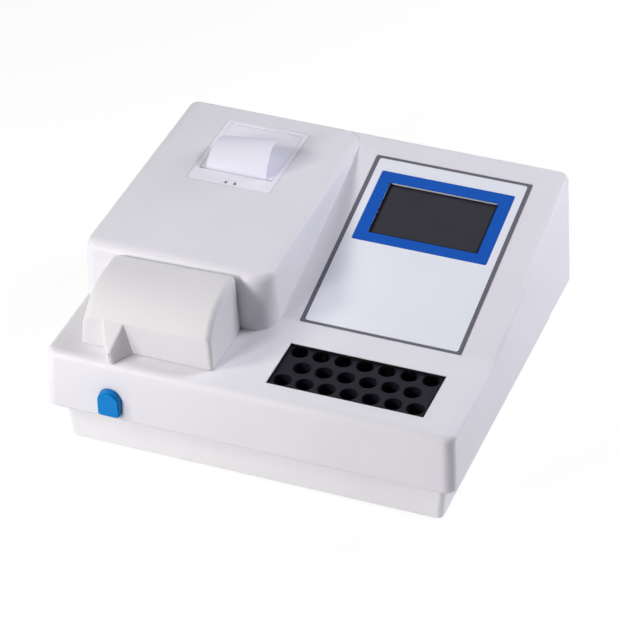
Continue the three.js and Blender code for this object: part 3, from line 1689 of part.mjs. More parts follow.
function keySwitch() {
  const y0 = front + keyDepth + keyStemLength + keyTravel + gap;
  const z = (keyZ0 + keyZ1) / 2;
  const half = keySwitchWidth / 2;
  const tall = keySwitchHeight / 2;
  const body = block(keyX - half, keyX + half, y0, y0 + keySwitchDepth, z - tall, z + tall);
  const board = block(
    keyX - half - keyBoardMargin,
    keyX + half + keyBoardMargin,
    y0 + keySwitchDepth - boardThickness,
    y0 + keySwitchDepth,
    z - tall - wall / 2,
    z + tall + wall / 2,
  );
  return join(body, board);
}

piece("key_switch", keySwitch(), blackPlastic());

// Optical bench under the housing: detector, flow cell, filter wheel, lens and lamp on one line
const wheelX = noseX + filterOrbit;
const wheelFace = wheelY - wheelThickness / 2;
const hubFace = wheelFace - wheelHubLength;
const motorWebFace = hubFace - gap;
const wheelMotorFace = motorWebFace - uprightThickness - gap;
const detectorWebBack = bayY0 - gap * 2;
const detectorWebFront = detectorWebBack - uprightThickness;
const detectorBoardBack = detectorWebFront - gap;

function opticBench() {
  const web = (x, y0, y1, halfWidth) =>
    block(x - halfWidth, x + halfWidth, y0, y1, benchTop - gap, beamZ + halfWidth);
  const plate = block(benchX0, benchX1, benchY0, benchY1, benchTop - benchThickness, benchTop);
  const lensHalf = lensRadius + lensTubeWall * 2;
  const lampHalf = lampBlockSize / 2;
  const bore = (radius, x, y0, y1) => rod("y", radius, y0 - overrun, y1 + overrun, x, beamZ);
  const webs = [
    cut(
      web(noseX, detectorWebFront, detectorWebBack, detectorSize / 2),
      bore(detectorCanRadius + gap, noseX, detectorWebFront, detectorWebBack),
    ),
    cut(
      web(wheelX, motorWebFace - uprightThickness, motorWebFace, motorSize / 2),
      bore(wheelHubRadius + gap, wheelX, motorWebFace, motorWebFace),
      bore(beamRadius * 2, noseX, motorWebFace, motorWebFace),
    ),
    cut(
      web(noseX, lensY - lensLength / 4, lensY + lensLength / 4, lensHalf),
      bore(lensRadius + lensTubeWall + gap, noseX, lensY, lensY),
    ),
  ];
  const pedestal = block(
    noseX - lampHalf,
    noseX + lampHalf,
    lampY - lampHalf,
    lampY + lampHalf,
    benchTop - gap,
    beamZ - lampHalf - gap,
  );
  return join(plate, pedestal, ...webs);
}

function turned(profile, axisPoint, sides = roundSides) {
  const points = profile.map(([radius, along]) => new THREE.Vector2(radius, along));
  const geometry = new THREE.LatheGeometry(points, sides);
  return solidOf(geometry.translate(axisPoint[0], 0, axisPoint[1]));
}

function lensTube() {
  const face = lensY - lensLength / 2;
  const outer = rod("y", lensRadius + lensTubeWall, face, face + lensLength, noseX, beamZ);
  const seat = rod("y", lensRadius + gap, face + lensTubeWall, lensY + lensLength, noseX, beamZ);
  const mouth = rod("y", lensRadius - lensTubeWall, lensY - lensLength, lensY, noseX, beamZ);
  return cut(outer, seat, mouth);
}

function lens() {
  const middle = lensY - lensLength / 2 + lensTubeWall + gap + lensEdge + lensCrown;
  const half = lensEdge / 2;
  const profile = [
    [0, middle - half - lensCrown],
    [lensRadius / 2, middle - half - lensCrown * 0.75],
    [lensRadius, middle - half],
    [lensRadius, middle + half],
    [lensRadius / 2, middle + half + lensCrown * 0.75],
    [0, middle + half + lensCrown],
  ];
  return turned(profile, [noseX, beamZ]);
}

function filterPlaces() {
  return Array.from({ length: wheelFilters }, (_, i) => {
    const angle = Math.PI + (i / wheelFilters) * 2 * Math.PI;
    return [wheelX + filterOrbit * Math.cos(angle), beamZ + filterOrbit * Math.sin(angle)];
  });
}

function filterWheel() {
  const disc = rod("y", wheelRadius, wheelFace, wheelFace + wheelThickness, wheelX, beamZ, largeSides);
  const hub = rod("y", wheelHubRadius, hubFace, wheelFace + wall, wheelX, beamZ);
  const shaftEnd = wheelMotorFace - wheelHubLength;
  const shaft = rod("y", motorShaftRadius, shaftEnd, wheelFace, wheelX, beamZ, smallSides);
  const holes = filterPlaces().map(([x, z]) =>
    rod("y", filterRadius, wheelFace - overrun, wheelFace + wheelThickness + overrun, x, z, smallSides),
  );
  return cut(join(disc, hub, shaft), ...holes);
}

function filterMotor() {
  const half = motorSize / 2;
  const outline = roundedRectangle(wheelX - half, wheelX + half, beamZ - half, beamZ + half, motorCorner);
  const socket = rod(
    "y",
    motorShaftRadius + gap,
    wheelMotorFace - wheelHubLength - gap,
    wheelMotorFace + overrun,
    wheelX,
    beamZ,
    smallSides,
  );
  return prism("y", outline, wheelMotorFace - motorLength, wheelMotorFace).subtract(socket);
}

const lampFront = lampY - lampBlockSize / 2;
const lampBaseFace = lampFront + lampFinDepth;

function lampBlock() {
  const half = lampBlockSize / 2;
  const body = block(noseX - half, noseX + half, lampFront, lampY + half, beamZ - half, beamZ + half);
  const bore = rod("y", lampBaseRadius + gap, lampFront - overrun, lampY + half + overrun, noseX, beamZ);
  const pitch = lampBlockSize / lampFins;
  const grooves = [-1, 1].flatMap((side) =>
    Array.from({ length: lampFins - 1 }, (_, i) => {
      const z = beamZ - half + pitch * (i + 1);
      const face = noseX + side * half;
      const depth = noseX + side * (half - lampFinDepth / 2);
      const [x0, x1] = [Math.min(face, depth) , Math.max(face, depth)];
      return block(
        side < 0 ? x0 - overrun : x0,
        side < 0 ? x1 : x1 + overrun,
        lampFront - overrun,
        lampY + half + overrun,
        z - pitch / 4,
        z + pitch / 4,
      );
    }),
  );
  return cut(body, bore, ...grooves);
}

function lamp() {
  const tip = lampBaseFace - gap - lampLength;
  const profile = [
    [0, tip],
    [lampRadius * 0.6, tip + lampRadius * 0.3],
    [lampRadius, tip + lampRadius],
    [lampRadius, lampBaseFace - gap],
    [0, lampBaseFace - gap],
  ];
  return turned(profile, [noseX, beamZ]);
}

function lampBase() {
  return rod("y", lampBaseRadius, lampBaseFace, lampBaseFace + lampBaseLength, noseX, beamZ);
}

function detector() {
  const half = detectorSize / 2;
  const board = block(
    noseX - half,
    noseX + half,
    detectorBoardBack - boardThickness,
    detectorBoardBack,
    beamZ - half,
    beamZ + half,
  );
  const can = rod(
    "y",
    detectorCanRadius,
    detectorBoardBack - gap,
    detectorBoardBack + detectorCanLength,
    noseX,
    beamZ,
    roundSides,
  );
  return join(board, can);
}

piece("optic_bench", opticBench(), aluminium());
piece("lens_tube", lensTube(), anodised());
piece("lens", lens(), glass());
piece("filter_wheel", filterWheel(), anodised());
piece("filter_motor", filterMotor(), steel());
piece("lamp_block", lampBlock(), aluminium());
piece("lamp_bulb", lamp(), glass());
piece("lamp_base", lampBase(), ceramic());
piece("photodetector", detector(), circuit());

// Main board and power supply, low in the base
function mainBoard() {
  const boardTop = mainBoardZ + boardThickness;
  const board = block(mainBoardX0, mainBoardX1, mainBoardY0, mainBoardY1, mainBoardZ, boardTop);
  const chip = (xShare, yShare, size, height) => {
    const x = mainBoardX0 + mainBoardWidth * xShare;
    const y = mainBoardY0 + mainBoardDepth * yShare;
    return block(x - size / 2, x + size / 2, y - size / 2, y + size / 2, boardTop - gap, boardTop + height);
  };
  const chips = [
    chip(0.28, 0.45, chipSize * 1.6, chipHeight),
    chip(0.52, 0.3, chipSize, chipHeight),
    chip(0.52, 0.65, chipSize, chipHeight),
    chip(0.75, 0.3, chipSize, chipHeight),
    chip(0.86, 0.75, chipSize * 0.8, plugHeight),
    chip(0.14, 0.8, chipSize * 0.8, plugHeight),
  ];
  return join(board, ...chips);
}

function powerSupply() {
  const foot = trayFloor + gap;
  const top = foot + supplyHeight;
  const shell = block(supplyX0, supplyX1, supplyY0, supplyY1, foot, top);
  const space = block(
    supplyX0 + supplyWall,
    supplyX1 - supplyWall,
    supplyY0 + supplyWall,
    supplyY1 - supplyWall,
    foot - overrun,
    top - supplyWall,
  );
  const pitch = supplyWidth / (supplySlots + 1);
  const slots = Array.from({ length: supplySlots }, (_, i) => {
    const x = supplyX0 + pitch * (i + 1);
    return block(
      x - supplySlotWidth / 2,
      x + supplySlotWidth / 2,
      supplyY0 + supplyDepth / 4,
      supplyY1 - supplyDepth / 4,
      top - supplyWall - overrun,
      top + overrun,
    );
  });
  return cut(shell, space, ...slots);
}

piece("main_board", mainBoard(), circuit());
piece("power_supply", powerSupply(), aluminium());

// Cooling fan behind the vents in the rear wall
const fanBack = back - wall - gap;
const fanFront = fanBack - fanThickness;
const fanHubFace = fanFront + fanCupThickness + gap;
const fanHubBack = fanBack - fanCupThickness;

function fanFrame() {
  const half = fanSize / 2;
  const outline = roundedRectangle(fanX - half, fanX + half, fanZ - half, fanZ + half, motorCorner);
  const body = prism("y", outline, fanFront, fanBack);
  const bore = rod("y", fanBoreRadius, fanFront - overrun, fanBack + overrun, fanX, fanZ, largeSides);
  const screws = [[-1, -1], [1, -1], [-1, 1], [1, 1]].map(([sx, sz]) =>
    rod(
      "y",
      screwRadius + gap,
      fanFront - overrun,
      fanBack + overrun,
      fanX + sx * (half - motorCorner),
      fanZ + sz * (half - motorCorner),
      smallSides,
    ),
  );
  const cup = rod("y", fanHubRadius, fanFront, fanFront + fanCupThickness, fanX, fanZ);
  const arms = Array.from({ length: fanArms }, (_, i) => {
    const [thin, wide] = [fanCupThickness / 2, fanArmWidth / 2];
    const arm = blockGeometry(0, half - gap, -thin, thin, -wide, wide);
    arm.rotateY(Math.PI / 4 + (i / fanArms) * 2 * Math.PI);
    return solidOf(arm.translate(fanX, fanFront + fanCupThickness / 2, fanZ));
  });
  const bore0 = fanFront - overrun;
  const bearing = rod("y", fanShaftRadius + gap, bore0, fanFront + overrun, fanX, fanZ, smallSides);
  return cut(join(cut(body, bore, ...screws), cup, ...arms), bearing);
}

function fanRotor() {
  const hub = rod("y", fanHubRadius, fanHubFace, fanHubBack, fanX, fanZ);
  const shaft = rod("y", fanShaftRadius, fanFront, fanHubFace + gap, fanX, fanZ, smallSides);
  const middle = (fanHubFace + fanHubBack) / 2;
  const reach = [fanHubRadius - gap, (fanHubRadius + fanBoreRadius) / 2, fanBoreRadius - gap * 3];
  const blades = Array.from({ length: fanBlades }, (_, i) => {
    const rings = reach.map((radius) => {
      const pitch = Math.atan2(fanHubRadius, radius);
      const [c, w] = [Math.cos(pitch), Math.sin(pitch)];
      return [[1, 1], [-1, 1], [-1, -1], [1, -1]].map(([a, b]) => {
        const [p, q] = [(a * fanBladeChord) / 2, (b * fanBladeThickness) / 2];
        return new THREE.Vector3(radius, p * w + q * c, p * c - q * w);
      });
    });
    const blade = skin(rings, (point) => new THREE.Vector2(point.y, point.z));
    blade.rotateY((i / fanBlades) * 2 * Math.PI);
    return solidOf(blade.translate(fanX, middle, fanZ));
  });
  return join(hub, shaft, ...blades);
}

piece("fan_frame", fanFrame(), blackPlastic());
piece("fan_rotor", fanRotor(), blackPlastic());

// Power inlet with its switch, serial port and drain port in the rear wall
const inletFace = back + gap + inletFlangeThickness;
const socketZ = inletZ + socketLift;
const rockerZ = inletZ + rockerLift;
const rockerY = inletFace - rockerSink;

function inletModule() {
  const halfWidth = inletWidth / 2;
  const halfHeight = inletHeight / 2;
  const flange = prism(
    "y",
    roundedRectangle(
      inletX - halfWidth - inletFlange,
      inletX + halfWidth + inletFlange,
      inletZ - halfHeight - inletFlange,
      inletZ + halfHeight + inletFlange,
      inletFlange,
    ),
    back + gap,
    inletFace,
  );
  const body = block(
    inletX - halfWidth,
    inletX + halfWidth,
    inletFace - inletDepth,
    back + gap * 2,
    inletZ - halfHeight,
    inletZ + halfHeight,
  );
  const halfSocket = socketWidth / 2;
  const tall = socketHeight / 2;
  const chamfer = socketHeight / 3;
  const mouth = [
    [inletX - halfSocket, socketZ - tall],
    [inletX + halfSocket, socketZ - tall],
    [inletX + halfSocket, socketZ + tall - chamfer],
    [inletX + halfSocket - chamfer, socketZ + tall],
    [inletX - halfSocket + chamfer, socketZ + tall],
    [inletX - halfSocket, socketZ + tall - chamfer],
  ];
  const pocket = block(
    inletX - rockerWidth / 2,
    inletX + rockerWidth / 2,
    rockerY - rockerHeight / 2,
    inletFace + overrun,
    rockerZ - rockerHeight / 2,
    rockerZ + rockerHeight / 2,
  );
  const pins = pinPlaces().map(([x, z]) =>
    block(
      x - pinWidth / 2 - gap,
      x + pinWidth / 2 + gap,
      inletFace - inletDepth - overrun,
      inletFace - socketDepth + gap,
      z - pinHeight / 2 - gap,
      z + pinHeight / 2 + gap,
    ),
  );
  const socket = prism("y", mouth, inletFace - socketDepth, inletFace + overrun);
  return cut(join(flange, body), socket, pocket, ...pins);
}

function pinPlaces() {
  const places = [[-pinSpread, -pinWidth], [0, pinWidth], [pinSpread, -pinWidth]];
  return places.map(([x, z]) => [inletX + x, socketZ + z]);
}

function inletPin(x, z) {
  const tip = inletFace - socketDepth + pinLength;
  return block(
    x - pinWidth / 2,
    x + pinWidth / 2,
    inletFace - inletDepth - pinLength / 2,
    tip,
    z - pinHeight / 2,
    z + pinHeight / 2,
  );
}

// The rocker rests with its upper end pressed in.
function powerRocker() {
  const radius = rockerHeight / 2 - slip;
  const half = rockerWidth / 2 - slip;
  const face = rockerSink;
  const spread = radius * 2;
  const wedge = [
    [-spread, -spread],
    [face + Math.tan(rockerTilt) * spread, -spread],
    [face, 0],
    [face + Math.tan(rockerTilt) * spread, spread],
    [-spread, spread],
  ];
  const drum = rodGeometry("x", radius, -half, half, 0, 0, roundSides);
  const limits = prismGeometry("x", wedge, -half - overrun, half + overrun);
  return [drum, limits]
    .map((geometry) => solidOf(geometry.rotateX(rockerTilt).translate(inletX, rockerY, rockerZ)))
    .reduce((a, b) => a.intersect(b));
}

function portOutline(grow) {
  const w = portShellWidth / 2 + grow;
  const h = portShellHeight / 2 + grow;
  const slant = portShellHeight * portSlantShare;
  return [
    [portX - w + slant, portZ - h],
    [portX + w - slant, portZ - h],
    [portX + w, portZ + h],
    [portX - w, portZ + h],
  ];
}

function serialPort() {
  const inside = back - wall - gap;
  const flange = prism(
    "y",
    roundedRectangle(
      portX - portWidth / 2,
      portX + portWidth / 2,
      portZ - portHeight / 2,
      portZ + portHeight / 2,
      portFlange,
    ),
    inside - portFlange,
    inside,
  );
  const body = prism("y", portOutline(portFlange), inside - portBody, inside - portFlange / 2);
  const shell = prism("y", portOutline(0), inside - portFlange / 2, back + portProud);
  const mouth = prism("y", portOutline(-portFlange / 2), back, back + portProud + overrun);
  return cut(join(flange, body, shell), mouth);
}

function drainPort() {
  const inside = back - wall - gap;
  const throat = drainRadius - wall / 2;
  const profile = [
    [tubeRadius / 2, inside - portBody],
    [drainBarbRadius, inside - portBody],
    [drainBarbRadius, inside - wall],
    [drainRadius, inside - wall],
    [drainRadius, inside],
    [throat, inside],
    [throat, back + gap],
    [drainRadius, back + gap],
    [drainRadius, back + gap + wall],
    [drainBarbRadius * 0.8, back + gap + wall],
    [drainBarbRadius, back + drainProud / 2],
    [drainBarbRadius * 0.7, back + drainProud * 0.7],
    [drainBarbRadius, back + drainProud * 0.75],
    [drainBarbRadius * 0.7, back + drainProud],
    [tubeRadius / 2, back + drainProud],
  ];
  return turned([...profile, profile[0]], [drainX, drainZ], smallSides);
}

piece("inlet_module", inletModule(), blackPlastic());
pinPlaces().forEach(([x, z], i) => piece("inlet_pin_" + (i + 1), inletPin(x, z), brass()));
piece("power_rocker", powerRocker(), blackPlastic());
piece("serial_port", serialPort(), steel());
piece("drain_port", drainPort(), whitePlastic());

// Place the whole on the middle of its box.
analyzer.position.y = (keyProud - drainProud) / 2;

export default analyzer;
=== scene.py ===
"""Looks of the benchtop chemistry analyzer: finishes for every moulded, printed and metal part,
the small trim that the solids leave out, the studio and the camera. Metres, Z up, front towards -Y."""

import math

import bmesh
import bpy
from mathutils import Matrix, Vector


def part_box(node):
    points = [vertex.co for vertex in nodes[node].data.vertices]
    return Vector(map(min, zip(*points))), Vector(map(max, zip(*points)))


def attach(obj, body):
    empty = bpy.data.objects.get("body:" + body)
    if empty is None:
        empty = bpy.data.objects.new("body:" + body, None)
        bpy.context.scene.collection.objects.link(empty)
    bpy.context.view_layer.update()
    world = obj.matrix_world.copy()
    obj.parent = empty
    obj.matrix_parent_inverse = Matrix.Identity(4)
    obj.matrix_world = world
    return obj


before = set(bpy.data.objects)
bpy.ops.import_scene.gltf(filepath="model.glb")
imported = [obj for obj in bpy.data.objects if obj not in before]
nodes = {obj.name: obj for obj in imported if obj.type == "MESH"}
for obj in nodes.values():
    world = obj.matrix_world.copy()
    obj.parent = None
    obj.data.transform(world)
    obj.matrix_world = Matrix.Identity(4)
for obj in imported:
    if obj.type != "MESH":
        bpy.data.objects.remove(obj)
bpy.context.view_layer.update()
scene = bpy.context.scene

MM = 0.001

# Camera: where it stands, how it is turned and how long its lens is
CAMERA_PLACE = (0.78478, -2.01080, 1.64293)
CAMERA_AZIMUTH = 0.375
CAMERA_ELEVATION = 0.62917
CAMERA_ROLL = -0.018
CAMERA_LENS = 177.1
CAMERA_SENSOR = 36.0
CAMERA_NEAR = 0.05
CAMERA_FAR = 60.0

# Room and floor
ROOM_LEVEL = 0.03
FLOOR_SHADE = 0.9
FLOOR_ROUGHNESS = 0.9
FLOOR_SHADOW_SHARE = 0.25
FLOOR_GLOW = 1.12
FLOOR_SIZE = 12.0
FLOOR_DROP = 0.2 * MM

# Lamps: where each stands, how wide and strong it is, and its colour
LIGHT_TARGET = (-0.02, -0.03, 0.09)
LAMPS = {
    "left_key": ((-1.0, -0.75, 0.95), 0.35, 7.6, (1.0, 1.0, 0.91)),
    "front_key": ((-0.6, -1.15, 0.7), 0.35, 9.4, (1.0, 0.97, 1.0)),
    "right_card": ((0.9, 0.9, 0.5), 0.6, 5.4, (0.95, 0.94, 1.0)),
    "rear_light": ((0.8, 0.6, 1.1), 0.6, 9.8, (0.93, 0.92, 1.0)),
    "top_light": ((0.2, 0.0, 1.5), 0.8, 0.7, (1.0, 0.96, 1.0)),
}

# Smooth shading of the solids
WELD_DISTANCE = 0.004 * MM
SHARP_ANGLE = math.radians(31)

# A face belongs to the top of a sloping part when its normal rises by more than this
FACES_UP = 0.5

# Printed border of the panel
BORDER_SIDE = 3.8 * MM
BORDER_END = 2.8 * MM
BORDER_CORNER = 1.5 * MM
BORDER_INNER_CORNER = 2.2 * MM
INK_THICKNESS = 0.12 * MM

# Seals round the screen and the tube block; the black one round the screen also paints the shade along the
# window's edges
SCREEN_MARGIN = 3 * MM  # of the screen that the window hides on each side
GASKET_WIDTH = 1.6 * MM
GASKET_GAP = 0.02 * MM
GASKET_HEIGHT = 1.7 * MM
LINER_WIDTH = 0.8 * MM
LINER_HEIGHT = 1.85 * MM
LINER_CORNER = 0.3 * MM

# Fasteners, with their places set in from the edges and middles of the solids
BOSS_CORNER_INSET = 9.2 * MM
BOSS_SIDE_INSET = 6.9 * MM
TRAY_SCREW_RADIUS = 3 * MM
FAN_SCREW_REACH = 26 * MM
FAN_SCREW_RADIUS = 3.2 * MM
SCREW_HEIGHT = 1.9 * MM
FASTENER_SEAT = 0.6 * MM  # how deep a screw or post starts below its face
POST_REACH = 12.5 * MM
POST_RADIUS = 2.7 * MM
POST_BORE = 1.3 * MM
POST_LENGTH = 5 * MM
POST_SIDES = 6
POST_BORE_SIDES = 12
POST_PIT_SHARE = 0.2  # of its length, from its foot to the floor of its bore

# A pan head with a cross recess: radii as shares of the head's, levels as shares of its height
SCREW_SIDES = 24
PAN_FOOT_SHARES = (0.55, 0.97)
PAN_SHARES = ((1, 0.15), (0.93, 0.6))
CROWN_SHARE = 0.74
RECESS_MOUTH_SHARES = (0.52, 0.13)
RECESS_PIT_SHARES = (0.4, 0.1)
RECESS_LEVEL_SHARE = 0.25

# On and off marks of the mains rocker
ROCKER_RIDGE = 0.63 * MM  # above the rocker's middle, where its halves meet
ROCKER_DEPTH = 0.05 * MM  # of the ridge, in from the inlet's face
ROCKER_HALF = 5.52 * MM
ROCKER_LEAN = math.radians(20)
MARK_REACH = 1.5 * MM
MARK_LINE = 0.5 * MM
MARK_HEIGHT = 0.12 * MM

# Filters in the wheel
WHEEL_THICKNESS = 5 * MM
FILTER_ORBIT = 22 * MM
FILTER_RADIUS = 5.4 * MM
FILTER_THICKNESS = 3 * MM
FILTER_CHAMFER = 0.3 * MM
FILTER_COLOURS = [
    (90, 70, 190), (60, 90, 210), (50, 150, 215), (60, 180, 120),
    (170, 195, 70), (225, 170, 60), (215, 100, 50), (180, 50, 60),
]

# Colours of the finishes, as sRGB bytes
COLOURS = {
    "case": (229, 228, 234),
    "tray": (239, 238, 241),
    "lid": (223, 222, 225),
    "film": (234, 238, 247),
    "surround": (22, 88, 186),
    "ink": (104, 102, 114),
    "bezel": (241, 241, 250),
    "block": (24, 22, 31),
    "key": (0, 127, 204),
    "black": (28, 28, 31),
    # black foam; on the screen's gasket it is painted shade along the window's edges
    "gasket": (20, 20, 23),
    "mark": (222, 222, 224),
    "grey": (120, 122, 128),
    "rubber": (32, 32, 34),
    "paper": (238, 236, 251),
    "steel": (196, 198, 202),
    "aluminium": (206, 208, 212),
    "brass": (214, 178, 96),
    "tinned": (186, 188, 190),
    "glass": (250, 252, 255),
    "tube": (238, 240, 240),
    "board": (22, 92, 54),
    "ceramic": (236, 232, 222),
    "kapton": (176, 104, 32),
    "screen": (34, 34, 44),
}

# The middle range of a noise, which a finish stretches to its own
NOISE_LOW = 0.3
NOISE_HIGH = 0.7
BEVEL_SAMPLES = 6


def linear(colour):
    """An sRGB colour in bytes as a linear colour with full alpha."""
    channels = [byte / 255 for byte in colour]
    curved = [c / 12.92 if c <= 0.04045 else ((c + 0.055) / 1.055) ** 2.4 for c in channels]
    return (*curved, 1.0)


def shaded(colour, share):
    """The colour made lighter or darker by a share of itself."""
    red, green, blue, alpha = colour
    return (min(1, red * share), min(1, green * share), min(1, blue * share), alpha)


class Shader:
    """A Principled material with its node tree at hand."""

    def __init__(self, name):
        self.material = bpy.data.materials.new(name)
        self.material.use_nodes = True
        self.tree = self.material.node_tree
        self.principled = self.tree.nodes["Principled BSDF"]
        self.place = self.tree.nodes.new("ShaderNodeTexCoord").outputs["Object"]

    def add(self, kind, **settings):
        node = self.tree.nodes.new(kind)
        for key, value in settings.items():
            setattr(node, key, value)
        return node

    def link(self, source, target):
        self.tree.links.new(source, target)

    def noise(self, size, detail, stretch=None):
        """A noise whose bumps are about size metres across, drawn out along an axis by stretch."""
        place = self.place
        if stretch:
            mapping = self.add("ShaderNodeMapping")
            mapping.inputs["Scale"].default_value = stretch
            self.link(place, mapping.inputs["Vector"])
            place = mapping.outputs["Vector"]
        node = self.add("ShaderNodeTexNoise")
        node.inputs["Scale"].default_value = 1 / size
        node.inputs["Detail"].default_value = detail
        self.link(place, node.inputs["Vector"])
        return node.outputs["Fac"]

    def between(self, factor, low, high):
        """A noise stretched to run from low to high."""
        node = self.add("ShaderNodeMapRange")
        node.inputs["From Min"].default_value = NOISE_LOW
        node.inputs["From Max"].default_value = NOISE_HIGH
        node.inputs["To Min"].default_value = low
        node.inputs["To Max"].default_value = high
        self.link(factor, node.inputs["Value"])
        return node.outputs["Result"]

    def blend(self, factor, first, second):
        """Two colours mixed by the factor."""
        node = self.add("ShaderNodeMix", data_type="RGBA")
        colours = [socket for socket in node.inputs if socket.type == "RGBA"]
        colours[0].default_value = first
        colours[1].default_value = second
        self.link(factor, node.inputs["Factor"])
        return [socket for socket in node.outputs if socket.type == "RGBA"][0]

    def rounded(self, radius):
        """The surface's normal, softened along its edges."""
        node = self.add("ShaderNodeBevel", samples=BEVEL_SAMPLES)
        node.inputs["Radius"].default_value = radius
        return node.outputs["Normal"]

    def bump(self, height, depth, strength, normal=None):
        """The surface's normal, or the one given, tilted by a height."""
        node = self.add("ShaderNodeBump")
        node.inputs["Distance"].default_value = depth
        node.inputs["Strength"].default_value = strength
        self.link(height, node.inputs["Height"])
        if normal:
            self.link(normal, node.inputs["Normal"])
        return node.outputs["Normal"]

    def set(self, **values):
        """Constants of the Principled shader, with _ for each space in an input's name."""
        for key, value in values.items():
            self.principled.inputs[key.replace("_", " ")].default_value = value

    def drive(self, socket, output):
        self.link(output, self.principled.inputs[socket])


def moulded(name, colour, roughness=0.45, grain=0.5 * MM, depth=0.02 * MM, strength=0.25,
            mottle=0.015, edge=0.35 * MM, specular=0.4, flow=60 * MM, blush=9 * MM, spread=0.05):
    """Injection-moulded plastic: spark-eroded grain, faint flow marks and softened edges."""
    shader = Shader(name)
    base = linear(colour)
    marks = shader.between(shader.noise(flow, detail=3), 0, 1)
    tint = shader.blend(marks, shaded(base, 1 - mottle), shaded(base, 1 + mottle))
    shader.drive("Base Color", tint)
    sheen = shader.between(shader.noise(blush, detail=4), roughness - spread, roughness + spread)
    shader.drive("Roughness", sheen)
    shader.set(Specular_IOR_Level=specular)
    soft = shader.rounded(edge)
    shader.drive("Normal", shader.bump(shader.noise(grain, detail=3), depth, strength, soft))
    return shader.material


def metal(name, colour, roughness=0.3, grain=0.25 * MM, stretch=None, edge=0.2 * MM, spread=0.08,
          dark=0.93, depth=0.01 * MM, strength=0.2):
    """Machined or plated metal with a fine lay of tool marks."""
    shader = Shader(name)
    base = linear(colour)
    marks = shader.noise(grain, detail=4, stretch=stretch)
    shader.drive("Base Color", shader.blend(shader.between(marks, 0, 1), shaded(base, dark), base))
    shader.drive("Roughness", shader.between(marks, roughness - spread, roughness + spread))
    shader.set(Metallic=1.0)
    shader.drive("Normal", shader.bump(marks, depth, strength, shader.rounded(edge)))
    return shader.material


def clear(name, colour, roughness=0.03, ior=1.5, bloom=4 * MM, spread=0.05):
    """Glass or clear resin with a faint bloom on its surface."""
    shader = Shader(name)
    shader.set(Base_Color=linear(colour), Transmission_Weight=1.0, IOR=ior)
    shader.drive("Roughness", shader.between(shader.noise(bloom, detail=3), roughness, roughness + spread))
    return shader.material


def printed_film(name, colour, specular=0.4, coat=0.1, coat_sheen=0.2, cloud=45 * MM, tints=(0.985, 1.01),
                 sheen=6 * MM, sheens=(0.3, 0.4), peel=3 * MM, depth=0.02 * MM, strength=0.12):
    """Polyester film: satin, with the soft orange peel of its adhesive under it."""
    shader = Shader(name)
    base = linear(colour)
    clouds = shader.between(shader.noise(cloud, detail=2), 0, 1)
    shader.drive("Base Color", shader.blend(clouds, *(shaded(base, tint) for tint in tints)))
    shader.drive("Roughness", shader.between(shader.noise(sheen, detail=3), *sheens))
    shader.drive("Normal", shader.bump(shader.noise(peel, detail=2), depth, strength))
    shader.set(Coat_Weight=coat, Coat_Roughness=coat_sheen, Specular_IOR_Level=specular)
    return shader.material


def fibrous(name, colour, fibre=0.8 * MM, dark=0.97, sheens=(0.6, 0.75), depth=0.03 * MM, strength=0.3):
    """Thermal paper: matt, with fibres that run every way."""
    shader = Shader(name)
    base = linear(colour)
    fibres = shader.noise(fibre, detail=6)
    shader.drive("Base Color", shader.blend(shader.between(fibres, 0, 1), shaded(base, dark), base))
    shader.drive("Roughness", shader.between(fibres, *sheens))
    shader.drive("Normal", shader.bump(fibres, depth, strength))
    return shader.material


def laminate(name, colour, cloth=3 * MM, dark=0.9, light=1.5, seam=0.01, sheen=5 * MM, sheens=(0.25, 0.4)):
    """Solder-masked circuit board with the weave of its glass cloth showing through."""
    shader = Shader(name)
    base = linear(colour)
    weave = shader.add("ShaderNodeTexBrick")
    weave.inputs["Scale"].default_value = 1 / cloth
    weave.inputs["Color1"].default_value = shaded(base, dark)
    weave.inputs["Color2"].default_value = base
    weave.inputs["Mortar"].default_value = shaded(base, light)
    weave.inputs["Mortar Size"].default_value = seam
    shader.link(shader.place, weave.inputs["Vector"])
    shader.drive("Base Color", weave.outputs["Color"])
    shader.drive("Roughness", shader.between(shader.noise(sheen, detail=3), *sheens))
    return shader.material


def dark_glass(name, colour, haze=30 * MM, light=1.15, sheen=7 * MM, sheens=(0.22, 0.3), specular=0.25):
    """A switched-off screen: black glass with a faint grey haze."""
    shader = Shader(name)
    base = linear(colour)
    hazes = shader.between(shader.noise(haze, detail=2), 0, 1)
    shader.drive("Base Color", shader.blend(hazes, base, shaded(base, light)))
    shader.drive("Roughness", shader.between(shader.noise(sheen, detail=3), *sheens))
    shader.set(Specular_IOR_Level=specular)
    return shader.material


